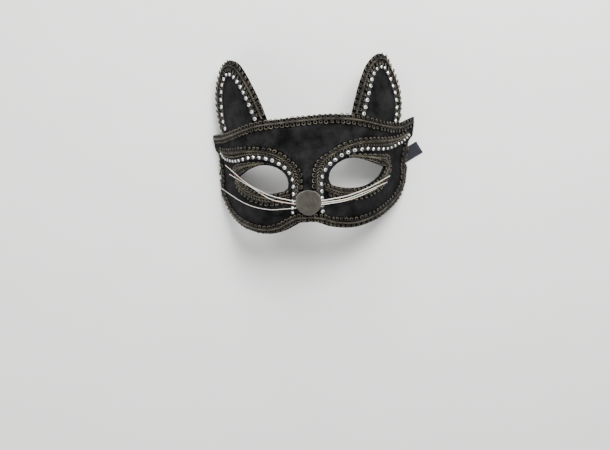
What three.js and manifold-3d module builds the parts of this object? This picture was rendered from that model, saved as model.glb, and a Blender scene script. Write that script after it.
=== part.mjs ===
// A cat eye half mask: a moulded shell covered in velvet, ears and all in one piece. It is edged with looped
// gimp braid and rows of small round stones, and has a felt nose, bristle whiskers and two tie ribbons.
// It lies face up on its side edges. X runs across the face, Y up towards the ears and Z out of the face.
// Millimetres. The origin is on the surface that it lies on, under the middle of the mask.

import * as THREE from 'three';
import { mergeVertices } from 'three/addons/utils/BufferGeometryUtils.js';
import Module from 'manifold-3d';

const DEGREE = Math.PI / 180;

// The front view is measured from the nose. The origin lies this far beside it and above it, at the middle of
// the mask's overall width and height.
const NOSE_TO_MIDDLE = { x: 4.3, y: 40 };

// How the face is rounded from side to side: a wide arc, a tighter arc at the temples, then straight sides.
const FACE_HEIGHT = 60;
const MIDDLE_RADIUS = 110;
const MIDDLE_ANGLE = 16 * DEGREE;
const TEMPLE_RADIUS = 48;
const SIDE_ANGLE = 60 * DEGREE;

// The mask is narrower at the cheeks than at the temples, and the two sides were bent a little unlike.
const WIDTH = {
  left: { temple: 0.978, cheek: 0.938, templeLevel: 54, cheekLevel: 14 },
  right: { temple: 1.04, cheek: 0.885, templeLevel: 60, cheekLevel: -12 },
};

// The forehead and the ears lean back, and the lower edge curls back.
const LEAN_START = 30;
const LEAN_CURVE = 0.002;
const CURL_START = -5;
const CURL_CURVE = 0.01;

// The nose ridge is broad and high at the tip, narrow at the bridge, and runs out in the forehead.
const NOSE = {
  tipHeight: 11, tipFlat: 4, tipHalf: 24, bridgeFlat: 1, bridgeHalf: 15.5,
  tipLevel: 0, bridgeLevel: 18, fadeLevel: 14, endLevel: 42,
};

// Soft swellings and hollows beside the ridge: height, middle and spread of each.
const FORMS = [
  { height: 2.2, x: 35, y: -7, spreadX: 15, spreadY: 10 },
  { height: -1.8, x: 34, y: 17, spreadX: 13, spreadY: 8 },
  { height: 1.6, x: 33, y: 42, spreadX: 16, spreadY: 8 },
];

// The shell: wall thickness, and the size of the net of points that its two faces are made on.
const WALL = 1.6;
const NET_ROW = 6.4;
const NET_FINE = 2.7;
const NET_COARSE = 6.8;
const NET_FINE_REACH = 20;
const NET_BOTTOM = -28;
const NET_TOP = 109;
const NET_HALF_WIDTH = 84;
const NET_BOWL = 0.002;

// The side edges rest on the floor below the wing tips and at the cheeks, and arch up between for the ribbon.
const WING_TIP_LEVEL = { left: 46.3, right: 49.2 };
const SIDE_END_LEVEL = -1;
const FLOOR_TRIM = 1.2;
const ARCH_RISE = 3;
const ARCH_TOP = 31.5;
const ARCH_BOTTOM = 14;
const ARCH_RAMP = 3.4;

// How far apart the places lie that the outline and the eye holes are cut through.
const OUTLINE_STEP = 4;
const EAR_STEP = 4.5;
const SIDE_STEP = 2.4;
const EYE_STEP = 3.6;
const EAR_FOOT_OVERLAP = 0.5;
const EAR_FOOT_CLEAR = 1;

// The edges in the front view, from the middle outwards on each side.
const TOP_EDGE = {
  left: [
    [0, 61.9], [8, 61.6], [15, 61.2], [22, 60.7], [29, 60.2], [37, 59], [44, 56.9], [50, 54.7], [59, 50.8],
    [68, 47.7], [76.4, 46.4],
  ],
  right: [
    [0, 61.9], [8, 62.1], [16, 62.1], [28, 61.1], [40, 58.7], [50, 54.9], [59, 50.7], [66, 47.9], [71, 47.2],
    [75, 48.1], [81, 49.4],
  ],
};
const LOWER_EDGE = {
  left: [
    [0, -15.7], [4, -15.8], [8, -16], [13, -18.7], [21, -23.3], [31, -25.8], [41, -25.4], [49, -23.8],
    [57, -21.1], [62.2, -17.6], [66.6, -13], [70, -7.2],
  ],
  right: [
    [0, -15.7], [4, -16.2], [8, -17.8], [13, -20.9], [21, -24.1], [31, -25.2], [41, -23.8], [49, -21.6],
    [56, -18.5], [61.2, -15], [65, -11.2], [67.6, -6.6],
  ],
};
const EYE_UPPER = {
  left: [[15.3, 12.4], [16.2, 17.6], [20, 22.6], [26, 25.9], [34, 27], [44, 24.2], [54.9, 17.3]],
  right: [[15.5, 14], [16.6, 18.8], [20.2, 23], [26, 26.6], [34, 27.8], [44, 24.3], [56.3, 16.6]],
};
const EYE_LOWER = {
  left: [[54.9, 17.3], [49, 12.4], [40, 7.9], [30, 5.7], [20.5, 7], [16.4, 9.2], [15.3, 12.4]],
  right: [[56.3, 16.6], [51.6, 10.1], [42, 5.8], [30, 5.8], [21, 7.9], [16.8, 10.4], [15.5, 14]],
};

// The two ears were cut by hand, and the one on the left is a little broader at its inner side.
const EARS = {
  left: [
    [26.4, 58], [31.8, 74.1], [37.1, 85.7], [42.6, 96.3], [48.5, 103.6], [54.3, 105.3], [60.5, 102.1],
    [66.8, 89.6], [69.4, 75], [68.4, 60.9], [64.6, 44],
  ],
  right: [
    [34.6, 57], [39.6, 73], [44.3, 85.5], [49.1, 95], [54.3, 100.2], [58.6, 101.8], [62.2, 99.9],
    [66.1, 91.1], [69.9, 78.5], [71.1, 64.1], [70, 53.1], [68, 44],
  ],
};

// The gimp braid was pulled a little wider on one side. These are its widths, how high it and the other trims
// lie over the velvet, and how far they keep from the edges and from each other.
const TOP_BRAID_WIDTH = { left: 6.9, middle: 7.2, right: 7.6 };
const LOWER_BRAID_WIDTH = { left: 7.5, middle: 6.6, right: 8.7 };
const WIDTH_CHANGE = { start: 10, end: 24 };
const BRAID_THICKNESS = 1.9;
const BRAID_EDGE = 0.55;
const BRAID_STEP = 8;
const BRAID_FINE_STEP = 3;
const BRAID_FINE_REACH = 17;
const BRAID_TURN = 16 * DEGREE;
const TRIM_GAP = 0.35;
const OVERHANG = 0.4;
const LOWER_HEM = 0.8;
const BUTT_GAP = 0.9;
const BRAID_FLOOR_GAP = 0.6;
const TOP_BRAID_TIP = { left: [74.6, 46.8], right: [78.8, 48.9] };
const LOWER_BRAID_TOP = { left: 28.4, right: 29.6 };
const TRIM_STEP = 1.5;
const EDGE_PLACES = { braid: 400, lower: 80, eye: 120 };

// The brow braids run up from under the pad, over the eyes beside the stones, and out under the top braid.
const BROW_OUTER = {
  left: [
    [3.8, -6], [4.2, 0], [3.8, 7], [2.9, 12.5], [2.5, 16.6], [2.9, 20.3], [4.6, 24.2], [7.4, 27.4],
    [10.9, 30.5], [14.7, 34.1], [18.3, 36.7], [22.7, 38.8], [26.3, 40.1], [30, 41], [34.4, 41.7],
    [39, 41.9], [44.6, 41.8], [49.6, 41.3], [56.8, 39.9], [63.9, 38.4], [71, 38.6],
  ],
  right: [
    [3.6, -6], [3.6, 0], [3.3, 8], [3.2, 13.3], [3.4, 16.9], [3.8, 20.8], [4.8, 24.6], [6.8, 27.8],
    [9.8, 30.6], [13.8, 33.1], [17.8, 35.2], [21.7, 37.3], [25.5, 39.2], [29.2, 40.6], [32.8, 41.4],
    [36.4, 42], [40, 42.2], [47, 41.8], [54, 40.7], [59.5, 39.3], [64.5, 38.7], [69.4, 39.2], [72.4, 40.2],
  ],
};
const BROW_FOOT = -6;
const BROW_END = { left: 71.5, right: 74.6 };

// The eye braids follow the lower lid from the stones, turn at the outer corner and taper on the upper lid.
const EYE_BRAID = { width: 9.2, taperStart: 0.62, endWidth: 3.2, hem: 0.35 };
const EYE_BRAID_LEAD = { left: [[12.4, 8.6], [16.4, 8]], right: [[11.5, 12.4], [15.2, 10.4]] };
const EYE_BRAID_CLEAR = { left: 13.3, right: 11.6 };
const EYE_BRAID_END = { left: 31.5, right: 30.5 };

// The rows of stones: the stone, the narrow tape that the stones are set on, and where each stone was glued.
const STONE = { radius: 1.62, table: 0.95, height: 2.1, end: 1.05, tape: 1.5, tapeThickness: 0.5, gap: 0.5 };
const STONE_CLEAR = 0.2;
const BROW_STONES = {
  left: [
    [12.2, -8.1], [12, -4.5], [11.3, 0.2], [10.5, 5.7], [10.2, 10.7], [10.6, 16], [13, 21], [16.6, 25],
    [20.8, 28.2], [25.5, 30.7], [30.2, 32.6], [35.2, 33.5], [39.9, 33.6], [44, 32.9], [48.3, 31.7],
    [51.7, 30.8], [54.5, 29.9], [57.3, 29.3], [59.8, 29.1], [62.3, 29.3], [64.6, 29.6],
    [66.4, 30.7], [68.1, 32.6], [69.6, 35.3],
  ],
  right: [
    [9, -8.1], [9, -3.5], [9.3, 1.6], [9.4, 6.4], [9.4, 11.3], [10.1, 16.4], [12.8, 21.4], [17, 25.5],
    [21.2, 28.5], [26, 31.1], [30.9, 32.9], [35.8, 33.6], [40.7, 33.8], [45, 33.4], [48.7, 32.7],
    [52.2, 31.9], [55.6, 31.1], [58.5, 30.7], [61.2, 30.6], [64, 31], [66.6, 31.6], [68.8, 32.4],
    [70.9, 33.4], [72.9, 34.6], [74.6, 36.1],
  ],
};
const EAR_STONES = {
  left: [
    [36.3, 62], [38.2, 67], [40, 72.3], [41.8, 77.3], [43.8, 81.7], [45.9, 85.7], [48.3, 89.5],
    [50.9, 92.8], [53.8, 94.9], [57, 94.2], [59.7, 91], [61.6, 86.2], [62.9, 80.9], [63.6, 75.3],
    [63.8, 69.6], [63.7, 64.1], [63, 58.7], [61.7, 53.5],
  ],
  right: [
    [44.1, 59.5], [45.6, 64.1], [47.2, 69.1], [48.8, 74.1], [50.1, 79], [51.4, 83.6], [53.2, 87.8],
    [55.6, 90.7], [58.4, 91.7], [60.9, 90.2], [62.8, 86.4], [64.4, 81.4], [65.8, 76], [67, 70.5],
    [67.5, 65.1], [67.4, 59.7], [66.8, 54.5], [65.8, 50],
  ],
};

// The felt nose pad, with the size and the height of each ring of its dome.
const PAD = {
  halfWidth: 8, halfHeight: 9.3, y: -0.4, gap: 0.5, sides: 18,
  rings: [[0.45, 0], [1, 0], [1, 1], [0.8, 2.04], [0.35, 2.4]],
};

// The whiskers: thickness, and the way that each one takes, as x, y and height over the floor.
const WHISKER = { radius: 0.35, sides: 6, steps: 7 };
const WHISKERS = {
  left: [
    [[9.8, 1.1, 71.9], [15, 2.2, 70.6], [29, 6.3, 67.6], [44, 14.6, 63.2], [61.8, 29.4, 53.4]],
    [[9.9, -1, 71.9], [15, -0.2, 70.4], [28, 3, 67], [43, 12.5, 61.3], [59.4, 22.4, 53]],
    [[9.6, -4, 71.9], [15, -4.4, 70], [31, -4.4, 66.9], [47, 0, 62.4], [70.6, 14.5, 49.3]],
  ],
  right: [
    [[9.8, 0.2, 72.1], [14, 0.4, 70.8], [29, 1.9, 67.3], [44, 5.9, 63.3], [60.6, 12.6, 55.4]],
    [[9.8, -1.3, 72.1], [14, -1.3, 70.7], [28, -0.5, 66.8], [43, 3.4, 62.3], [58.2, 8, 55.4]],
    [[9.7, -2.8, 72.1], [14, -2.7, 70.5], [26, -2.1, 66.3], [37, 0, 62.9], [50, 4.4, 58.2]],
  ],
};

// The tie ribbons: glued inside the temples, passed aslant under the side edge and folded into a flat hank.
const RIBBON = {
  width: 10, thickness: 0.6, glued: 17, wallGap: 0.35, floorGap: 0.1, floorThickness: 1.2, slant: 27 * DEGREE,
  crossing: [76, 22.3], hankLength: 41, hankHeight: 4.6, hankRound: 2.1,
  hankCorner: { left: 57.3, right: 53.5 }, hankStart: { left: 9.2, right: 7 },
  reach: { left: -3.4, right: 7.4 },
};

const mix = (a, b, t) => a + (b - a) * t;
const smooth = (from, to, value) => {
  const t = THREE.MathUtils.clamp((value - from) / (to - from), 0, 1);
  return t * t * (3 - 2 * t);
};

// How far the face falls back at a distance x from its middle line.
function roundingDrop(x) {
  const middleEnd = MIDDLE_RADIUS * Math.sin(MIDDLE_ANGLE);
  const middleDrop = MIDDLE_RADIUS * (1 - Math.cos(MIDDLE_ANGLE));
  const templeEnd = middleEnd + TEMPLE_RADIUS * (Math.sin(SIDE_ANGLE) - Math.sin(MIDDLE_ANGLE));
  const templeDrop = middleDrop + TEMPLE_RADIUS * (Math.cos(MIDDLE_ANGLE) - Math.cos(SIDE_ANGLE));
  if (x < middleEnd) return MIDDLE_RADIUS - Math.sqrt(MIDDLE_RADIUS ** 2 - x * x);
  if (x > templeEnd) return templeDrop + (x - templeEnd) * Math.tan(SIDE_ANGLE);
  const sine = Math.sin(MIDDLE_ANGLE) + (x - middleEnd) / TEMPLE_RADIUS;
  return middleDrop + TEMPLE_RADIUS * (Math.cos(MIDDLE_ANGLE) - Math.sqrt(1 - sine * sine));
}

function widthScale(x, y) {
  const { temple, cheek, templeLevel, cheekLevel } = x < 0 ? WIDTH.left : WIDTH.right;
  return mix(temple, cheek, smooth(templeLevel, cheekLevel, y));
}

function noseRise(x, y) {
  const narrow = smooth(NOSE.tipLevel, NOSE.bridgeLevel, y);
  const flat = mix(NOSE.tipFlat, NOSE.bridgeFlat, narrow);
  const half = mix(NOSE.tipHalf, NOSE.bridgeHalf, narrow);
  const along = THREE.MathUtils.clamp((x - flat) / (half - flat), 0, 1);
  const height = NOSE.tipHeight * (1 - smooth(NOSE.fadeLevel, NOSE.endLevel, y));
  return height * 0.5 * (1 + Math.cos(Math.PI * along));
}

// Height of the velvet over the floor at a place in the front view.
function faceHeight(x, y) {
  const across = Math.abs(x);
  let height = FACE_HEIGHT - roundingDrop(across / widthScale(x, y)) + noseRise(across, y);
  height -= LEAN_CURVE * Math.max(y - LEAN_START, 0) ** 2;
  height -= CURL_CURVE * Math.max(CURL_START - y, 0) ** 2;
  for (const form of FORMS) {
    const u = (across - form.x) / form.spreadX;
    const v = (y - form.y) / form.spreadY;
    height += form.height * Math.exp(-(u * u + v * v));
  }
  return height;
}

function faceNormal(x, y) {
  const step = 0.05;
  const slopeX = (faceHeight(x + step, y) - faceHeight(x - step, y)) / (2 * step);
  const slopeY = (faceHeight(x, y + step) - faceHeight(x, y - step)) / (2 * step);
  return new THREE.Vector3(-slopeX, -slopeY, 1).normalize();
}

// A point lifted off the velvet, or sunk under it, at a place in the front view.
function facePoint(x, y, lift = 0) {
  return new THREE.Vector3(x, y, faceHeight(x, y)).addScaledVector(faceNormal(x, y), lift);
}

// How far out the side of the face comes down to a given height over the floor, found by halving.
function sideAt(sign, y, rise) {
  const halvings = 40;
  let inside = MIDDLE_RADIUS * Math.sin(MIDDLE_ANGLE) + 1;
  let outside = MIDDLE_RADIUS;
  for (let i = 0; i < halvings; i += 1) {
    const middle = (inside + outside) / 2;
    if (faceHeight(sign * middle, y) > rise) inside = middle;
    else outside = middle;
  }
  return inside;
}

// How far the side edge is cut above the floor at a level, under the floor where it is to be cut flat.
function sideRise(y) {
  const bottom = smooth(ARCH_BOTTOM - ARCH_RAMP, ARCH_BOTTOM, y);
  const top = smooth(ARCH_TOP, ARCH_TOP + ARCH_RAMP, y);
  return mix(-FLOOR_TRIM, ARCH_RISE, bottom * (1 - top));
}

// A smooth line in the front view through a few points, as evenly spaced places.
function frontLine(points, step) {
  const places = points.map(([x, y]) => new THREE.Vector3(x, y, 0));
  const curve = new THREE.CatmullRomCurve3(places, false, 'centripetal');
  const count = Math.max(2, Math.round(curve.getLength() / step));
  return curve.getSpacedPoints(count).map((p) => [p.x, p.y]);
}

const SIDES = [['left', -1], ['right', 1]];
const onSide = (line, sign) => line.map(([x, y]) => [sign * x, y]);

// Goes a distance over the velvet, square to the line from one place to the next, to its left when positive.
function walk(place, along, distance) {
  const steps = 6;
  let [x, y] = place;
  for (let i = 0; i < steps; i += 1) {
    const normal = faceNormal(x, y);
    const ahead = new THREE.Vector3(along[0], along[1], 0);
    ahead.z = -(normal.x * along[0] + normal.y * along[1]) / normal.z;
    const side = normal.clone().cross(ahead).normalize();
    x += side.x * distance / steps;
    y += side.y * distance / steps;
  }
  return [x, y];
}

// A line that keeps its distance over the velvet from another, without doubling back inside a tight turn.
function insetLine(line, distance) {
  const inset = [];
  line.forEach((place, i) => {
    const before = line[Math.max(i - 1, 0)];
    const after = line[Math.min(i + 1, line.length - 1)];
    const along = [after[0] - before[0], after[1] - before[1]];
    const amount = typeof distance === 'function' ? distance(i / (line.length - 1), place[0]) : distance;
    const [x, y] = walk(place, along, amount);
    const last = inset[inset.length - 1];
    if (!last || (x - last[0]) * along[0] + (y - last[1]) * along[1] > 0) inset.push([x, y]);
  });
  return inset;
}

// The same number of places, evenly spaced over the velvet, on a line.
function respaced(line, count) {
  const lengths = [0];
  for (let i = 1; i < line.length; i += 1) {
    lengths.push(lengths[i - 1] + facePoint(...line[i]).distanceTo(facePoint(...line[i - 1])));
  }
  const total = lengths[lengths.length - 1];
  const places = [];
  for (let k = 0; k <= count; k += 1) {
    const target = total * k / count;
    let i = 1;
    while (i < line.length - 1 && lengths[i] < target) i += 1;
    const t = (target - lengths[i - 1]) / Math.max(lengths[i] - lengths[i - 1], 1e-9);
    places.push([mix(line[i - 1][0], line[i][0], t), mix(line[i - 1][1], line[i][1], t)]);
  }
  return { places, total };
}

// The side of the mask from the wing tip down to the cheek.
function sideLine(side, sign, step, riseAt) {
  const line = [];
  const from = WING_TIP_LEVEL[side];
  const count = Math.round((from - SIDE_END_LEVEL) / step);
  for (let i = 0; i <= count; i += 1) {
    const y = mix(from, SIDE_END_LEVEL, i / count);
    line.push([sideAt(sign, y, riseAt(y)), y]);
  }
  return line;
}

// Half of the outline in the front view, from the middle of the forehead round to the middle below the nose.
function halfOutline(side, sign) {
  const ear = EARS[side];
  const top = frontLine(TOP_EDGE[side], OUTLINE_STEP);
  const earLine = frontLine(ear, EAR_STEP);
  const start = top.findIndex(([x]) => x > ear[0][0]);
  const end = top.findIndex(([x]) => x > ear[ear.length - 1][0] + EAR_FOOT_CLEAR);
  const above = earLine.filter(([x, y]) => y > topEdgeAt(side, x) + EAR_FOOT_OVERLAP);
  const down = sideLine(side, sign, SIDE_STEP, sideRise);
  const lower = frontLine(LOWER_EDGE[side], OUTLINE_STEP).reverse();
  return onSide([...top.slice(0, start), ...above, ...top.slice(end, -1), ...down, ...lower], sign);
}

const topEdgeCurve = { left: frontLine(TOP_EDGE.left, 1), right: frontLine(TOP_EDGE.right, 1) };
function topEdgeAt(side, x) {
  const curve = topEdgeCurve[side];
  const i = Math.max(1, curve.findIndex(([cx]) => cx >= x));
  const [x0, y0] = curve[i - 1];
  const [x1, y1] = curve[i];
  return mix(y0, y1, THREE.MathUtils.clamp((x - x0) / (x1 - x0), 0, 1));
}

const wasm = await Module();
wasm.setup();

function toSolid(geometry) {
  const bare = geometry.clone();
  bare.deleteAttribute('normal');
  bare.deleteAttribute('uv');
  const merged = mergeVertices(bare, 1e-5);
  const mesh = new wasm.Mesh({
    numProp: 3,
    vertProperties: new Float32Array(merged.attributes.position.array),
    triVerts: new Uint32Array(merged.index.array),
  });
  mesh.merge();
  return new wasm.Manifold(mesh);
}

function toGeometry(solid) {
  const mesh = solid.getMesh();
  const geometry = new THREE.BufferGeometry();
  geometry.setAttribute('position', new THREE.BufferAttribute(new Float32Array(mesh.vertProperties), 3));
  geometry.setIndex(new THREE.BufferAttribute(new Uint32Array(mesh.triVerts), 1));
  return geometry;
}

// A closed geometry from points and faces, with its faces turned outwards.
function closedGeometry(points, faces) {
  let volume = 0;
  for (const [a, b, c] of faces) volume += points[a].dot(points[b].clone().cross(points[c]));
  const turned = volume < 0 ? faces.map(([a, b, c]) => [a, c, b]) : faces;
  const geometry = new THREE.BufferGeometry().setFromPoints(points);
  geometry.setIndex(turned.flat());
  return geometry;
}

// Joins rings of the same number of points into a closed body with flat ends.
function lofted(rings) {
  const sides = rings[0].length;
  const points = rings.flat();
  const faces = [];
  for (let r = 0; r + 1 < rings.length; r += 1) {
    for (let s = 0; s < sides; s += 1) {
      const a = r * sides + s;
      const b = r * sides + (s + 1) % sides;
      faces.push([a, b, b + sides], [a, b + sides, a + sides]);
    }
  }
  // Each end is filled from side to side, as a fan from one corner has no area where the corners line up.
  const last = (rings.length - 1) * sides;
  for (let s = 0; s + 1 < sides / 2; s += 1) {
    const [a, b, c, d] = [s, s + 1, sides - 2 - s, sides - 1 - s];
    faces.push([a, c, b], [a, d, c], [last + a, last + b, last + c], [last + a, last + c, last + d]);
  }
  return closedGeometry(points, faces);
}

// A band over the velvet between two lines with the same number of places, thinner at its edges.
function band(outer, inner, thickness, edge, bottom = TRIM_GAP) {
  const section = [[0, 0], [0.5, 0], [1, 0], [1, edge], [0.5, thickness], [0, edge]];
  return lofted(outer.map(([x, y], i) => section.map(([t, lift]) => {
    return facePoint(mix(x, inner[i][0], t), mix(y, inner[i][1], t), bottom + lift);
  })));
}

// A braid between two lines, with its rings closer together where it crosses the nose and where it turns.
function braid(outerLine, innerLine) {
  const fine = EDGE_PLACES.braid;
  const outer = respaced(outerLine, fine);
  const inner = respaced(innerLine, fine);
  const way = (i) => {
    const [[x0, y0], [x1, y1]] = [inner.places[i - 1], inner.places[i]];
    return new THREE.Vector2(x1 - x0, y1 - y0).normalize();
  };
  const picked = [0];
  let travelled = 0;
  for (let i = 1; i < fine; i += 1) {
    travelled += outer.total / fine;
    const turn = Math.abs(way(i).cross(way(picked.at(-1) + 1)));
    const near = Math.abs(outer.places[i][0]) < BRAID_FINE_REACH || turn > Math.sin(BRAID_TURN);
    const step = near ? BRAID_FINE_STEP : BRAID_STEP;
    const left = outer.total * (1 - i / fine);
    if (travelled < step || left < step / 2) continue;
    picked.push(i);
    travelled = 0;
  }
  picked.push(fine);
  const lines = [outer, inner].map(({ places }) => picked.map((i) => places[i]));
  return band(...lines, BRAID_THICKNESS, BRAID_EDGE);
}

// A slab on a net of points, bent into a shallow bowl so that it keeps its net while it is cut to shape.
const bowl = (x, y) => NET_BOWL * (x * x + y * y);

function netLines() {
  const lines = [0];
  while (lines[lines.length - 1] < NET_HALF_WIDTH) {
    const x = lines[lines.length - 1];
    const step = x < NET_FINE_REACH ? NET_FINE : NET_COARSE;
    const slope = roundingDrop(x + 1) - roundingDrop(x);
    lines.push(x + step / Math.hypot(1, slope));
  }
  return [...lines.slice(1).reverse().map((x) => -x), ...lines];
}

function netSlab() {
  const columns = netLines();
  const rowCount = Math.round((NET_TOP - NET_BOTTOM) / NET_ROW);
  const points = [];
  const faces = [];
  for (const lift of [0, -WALL]) {
    for (let r = 0; r <= rowCount; r += 1) {
      const y = mix(NET_BOTTOM, NET_TOP, r / rowCount);
      for (const x of columns) points.push(new THREE.Vector3(x, y, bowl(x, y) + lift));
    }
  }
  const width = columns.length;
  const layer = width * (rowCount + 1);
  const at = (r, c) => r * width + c;
  for (let r = 0; r < rowCount; r += 1) {
    for (let c = 0; c + 1 < width; c += 1) {
      const [a, b, d, e] = [at(r, c), at(r, c + 1), at(r + 1, c + 1), at(r + 1, c)];
      faces.push([a, b, d], [a, d, e], [a + layer, d + layer, b + layer], [a + layer, e + layer, d + layer]);
    }
  }
  const rim = [];
  for (let c = 0; c + 1 < width; c += 1) {
    rim.push([at(0, c), at(0, c + 1)], [at(rowCount, c + 1), at(rowCount, c)]);
  }
  for (let r = 0; r < rowCount; r += 1) {
    rim.push([at(r + 1, 0), at(r, 0)], [at(r, width - 1), at(r + 1, width - 1)]);
  }
  for (const [a, b] of rim) faces.push([b, a, a + layer], [b, a + layer, b + layer]);
  return closedGeometry(points, faces);
}

// A straight cutter through the slab, over the outline in the front view.
function prism(outline) {
  const shape = new THREE.Shape(outline.map(([x, y]) => new THREE.Vector2(x, y)));
  const deepest = -WALL - 1;
  const depth = bowl(NET_HALF_WIDTH, NET_TOP) - 2 * deepest;
  const geometry = new THREE.ExtrudeGeometry(shape, { depth, bevelEnabled: false });
  return toSolid(geometry.translate(0, 0, deepest));
}

function eyeOutline(side, sign) {
  const [upper, lower] = [frontLine(EYE_UPPER[side], EYE_STEP), frontLine(EYE_LOWER[side], EYE_STEP)];
  return onSide([...upper.slice(0, -1), ...lower.slice(0, -1)], sign);
}

function shellGeometry() {
  const outline = [...halfOutline('right', 1), ...halfOutline('left', -1).reverse().slice(1, -1)];
  let sheet = toSolid(netSlab()).intersect(prism(outline));
  for (const [side, sign] of SIDES) sheet = sheet.subtract(prism(eyeOutline(side, sign)));
  const bent = toGeometry(sheet);
  const position = bent.attributes.position;
  for (let i = 0; i < position.count; i += 1) {
    const [x, y] = [position.getX(i), position.getY(i)];
    const point = facePoint(x, y, THREE.MathUtils.clamp(position.getZ(i) - bowl(x, y), -WALL, 0));
    position.setXYZ(i, point.x, point.y, point.z);
  }
  const below = new THREE.BoxGeometry(3 * NET_TOP, 3 * NET_TOP, 2 * ARCH_TOP).translate(0, 0, -ARCH_TOP);
  return toGeometry(toSolid(bent).subtract(toSolid(below)));
}

// The width of a braid that crosses the middle of the mask, at a place along it.
function widthAt(widths, x) {
  const share = smooth(WIDTH_CHANGE.start, WIDTH_CHANGE.end, Math.abs(x));
  return mix(widths.middle, x < 0 ? widths.left : widths.right, share);
}

// The top braid lies along the top edge, across the feet of the ears, from wing tip to wing tip.
function topBraidGeometry() {
  const [left, right] = SIDES.map(([side, sign]) => {
    const points = [...TOP_EDGE[side].slice(0, -1), TOP_BRAID_TIP[side]];
    return onSide(frontLine(points, 2), sign);
  });
  const edge = [...left.reverse(), ...right.slice(1)];
  return braid(insetLine(edge, OVERHANG), insetLine(edge, (t, x) => OVERHANG - widthAt(TOP_BRAID_WIDTH, x)));
}

// The lower braid lies along the lower edge and up both sides to just under the brow stones.
function lowerBraidGeometry() {
  const [left, right] = SIDES.map(([side, sign]) => {
    const rise = (y) => Math.max(sideRise(y), BRAID_FLOOR_GAP);
    const up = sideLine(side, sign, TRIM_STEP, rise).filter(([, y]) => y < LOWER_BRAID_TOP[side]);
    const half = [...frontLine(LOWER_EDGE[side], TRIM_STEP), ...up.reverse().slice(1)];
    return respaced(onSide(half, sign), EDGE_PLACES.lower).places;
  });
  const edge = [...left.reverse(), ...right.slice(1)];
  const inner = insetLine(edge, (t, x) => LOWER_HEM + widthAt(LOWER_BRAID_WIDTH, x));
  return braid(insetLine(edge, LOWER_HEM), inner);
}

// The middle of a row's tape, which runs a little past the stones at both ends.
function stoneLine(row, sign) {
  const beyond = ([x, y], [fromX, fromY]) => {
    const far = STONE.end / Math.hypot(x - fromX, y - fromY);
    return [x + (x - fromX) * far, y + (y - fromY) * far];
  };
  return onSide(frontLine([beyond(row[0], row[1]), ...row, beyond(row.at(-1), row.at(-2))], 1), sign);
}

// The line along the outside of a row of stones, which a braid lies against.
const besideStones = (line, sign) => insetLine(line, sign * (STONE.radius + STONE_CLEAR));

function browBraidGeometry(side, sign) {
  const beside = besideStones(stoneLine(BROW_STONES[side], sign), sign);
  const inner = beside.filter(([x, y]) => y > BROW_FOOT && Math.abs(x) < BROW_END[side]);
  return braid(onSide(frontLine(BROW_OUTER[side], TRIM_STEP), sign), inner);
}

function eyeBraidGeometry(side, sign) {
  const { width, taperStart, endWidth, hem } = EYE_BRAID;
  const lower = [...EYE_BRAID_LEAD[side], ...EYE_LOWER[side].slice(0, -2).reverse()];
  const upper = frontLine(EYE_UPPER[side], 1).reverse().filter(([x]) => x > EYE_BRAID_END[side]);
  const around = [...frontLine(lower, 1), ...upper.slice(1)];
  const line = respaced(onSide(around, sign), EDGE_PLACES.eye).places;
  const taper = (t) => mix(1, endWidth / width, smooth(taperStart, 1, t));
  const outer = insetLine(line, (t) => -sign * (hem + width * taper(t)));
  const clear = outer.filter(([x]) => Math.abs(x) > EYE_BRAID_CLEAR[side]);
  return braid(clear, insetLine(line, -sign * hem));
}

// An ear's braid lies between the part of its edge that stands clear of the top braid and its stones.
function earBraidGeometry(side, sign) {
  const edge = onSide(frontLine(EARS[side], 1).filter(([x, y]) => y > topEdgeAt(side, x)), sign);
  const clear = ([x, y]) => y > topEdgeAt(side, Math.abs(x)) + BUTT_GAP;
  const outer = insetLine(edge, sign * OVERHANG).filter(clear);
  return braid(outer, besideStones(stoneLine(EAR_STONES[side], sign), sign).filter(clear));
}

// A row of stones on a narrow tape. Each stone is a low block with a smaller table on top.
function stoneRowGeometry(row, sign) {
  const line = stoneLine(row, sign);
  const travelled = [0];
  for (let i = 1; i < line.length; i += 1) {
    travelled.push(travelled[i - 1] + facePoint(...line[i]).distanceTo(facePoint(...line[i - 1])));
  }
  const rings = [];
  const addRing = (distance, half, topHalf, height) => {
    const target = THREE.MathUtils.clamp(distance, 0, travelled.at(-1));
    const i = Math.max(travelled.findIndex((far) => far >= target), 1);
    const [a, b] = [line[i - 1], line[i]];
    const t = (target - travelled[i - 1]) / (travelled[i] - travelled[i - 1]);
    const place = [mix(a[0], b[0], t), mix(a[1], b[1], t)];
    const corners = [[half, 0], [-half, 0], [-topHalf, height], [topHalf, height]];
    const along = [b[0] - a[0], b[1] - a[1]];
    rings.push(corners.map(([side, rise]) => facePoint(...walk(place, along, side), STONE.gap + rise)));
  };
  onSide(row, sign).forEach(([x, y]) => {
    const gaps = line.map(([lineX, lineY]) => Math.hypot(lineX - x, lineY - y));
    const middle = travelled[gaps.indexOf(Math.min(...gaps))];
    addRing(middle - STONE.radius, STONE.tape, STONE.tape, STONE.tapeThickness);
    addRing(middle - STONE.table, STONE.radius, STONE.table, STONE.height);
    addRing(middle + STONE.table, STONE.radius, STONE.table, STONE.height);
    addRing(middle + STONE.radius, STONE.tape, STONE.tape, STONE.tapeThickness);
  });
  return lofted(rings);
}

// The nose pad follows the nose at its back, just off the braids that it is glued to, and is domed in front.
function nosePadGeometry() {
  const ringAt = (scale, lift) => Array.from({ length: PAD.sides }, (_, k) => {
    const angle = 2 * Math.PI * k / PAD.sides;
    const x = PAD.halfWidth * scale * Math.cos(angle);
    const y = PAD.y + PAD.halfHeight * scale * Math.sin(angle);
    return facePoint(x, y, lift);
  });
  const back = BRAID_THICKNESS + TRIM_GAP + PAD.gap;
  return lofted(PAD.rings.map(([scale, rise]) => ringAt(scale, back + rise)));
}

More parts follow.
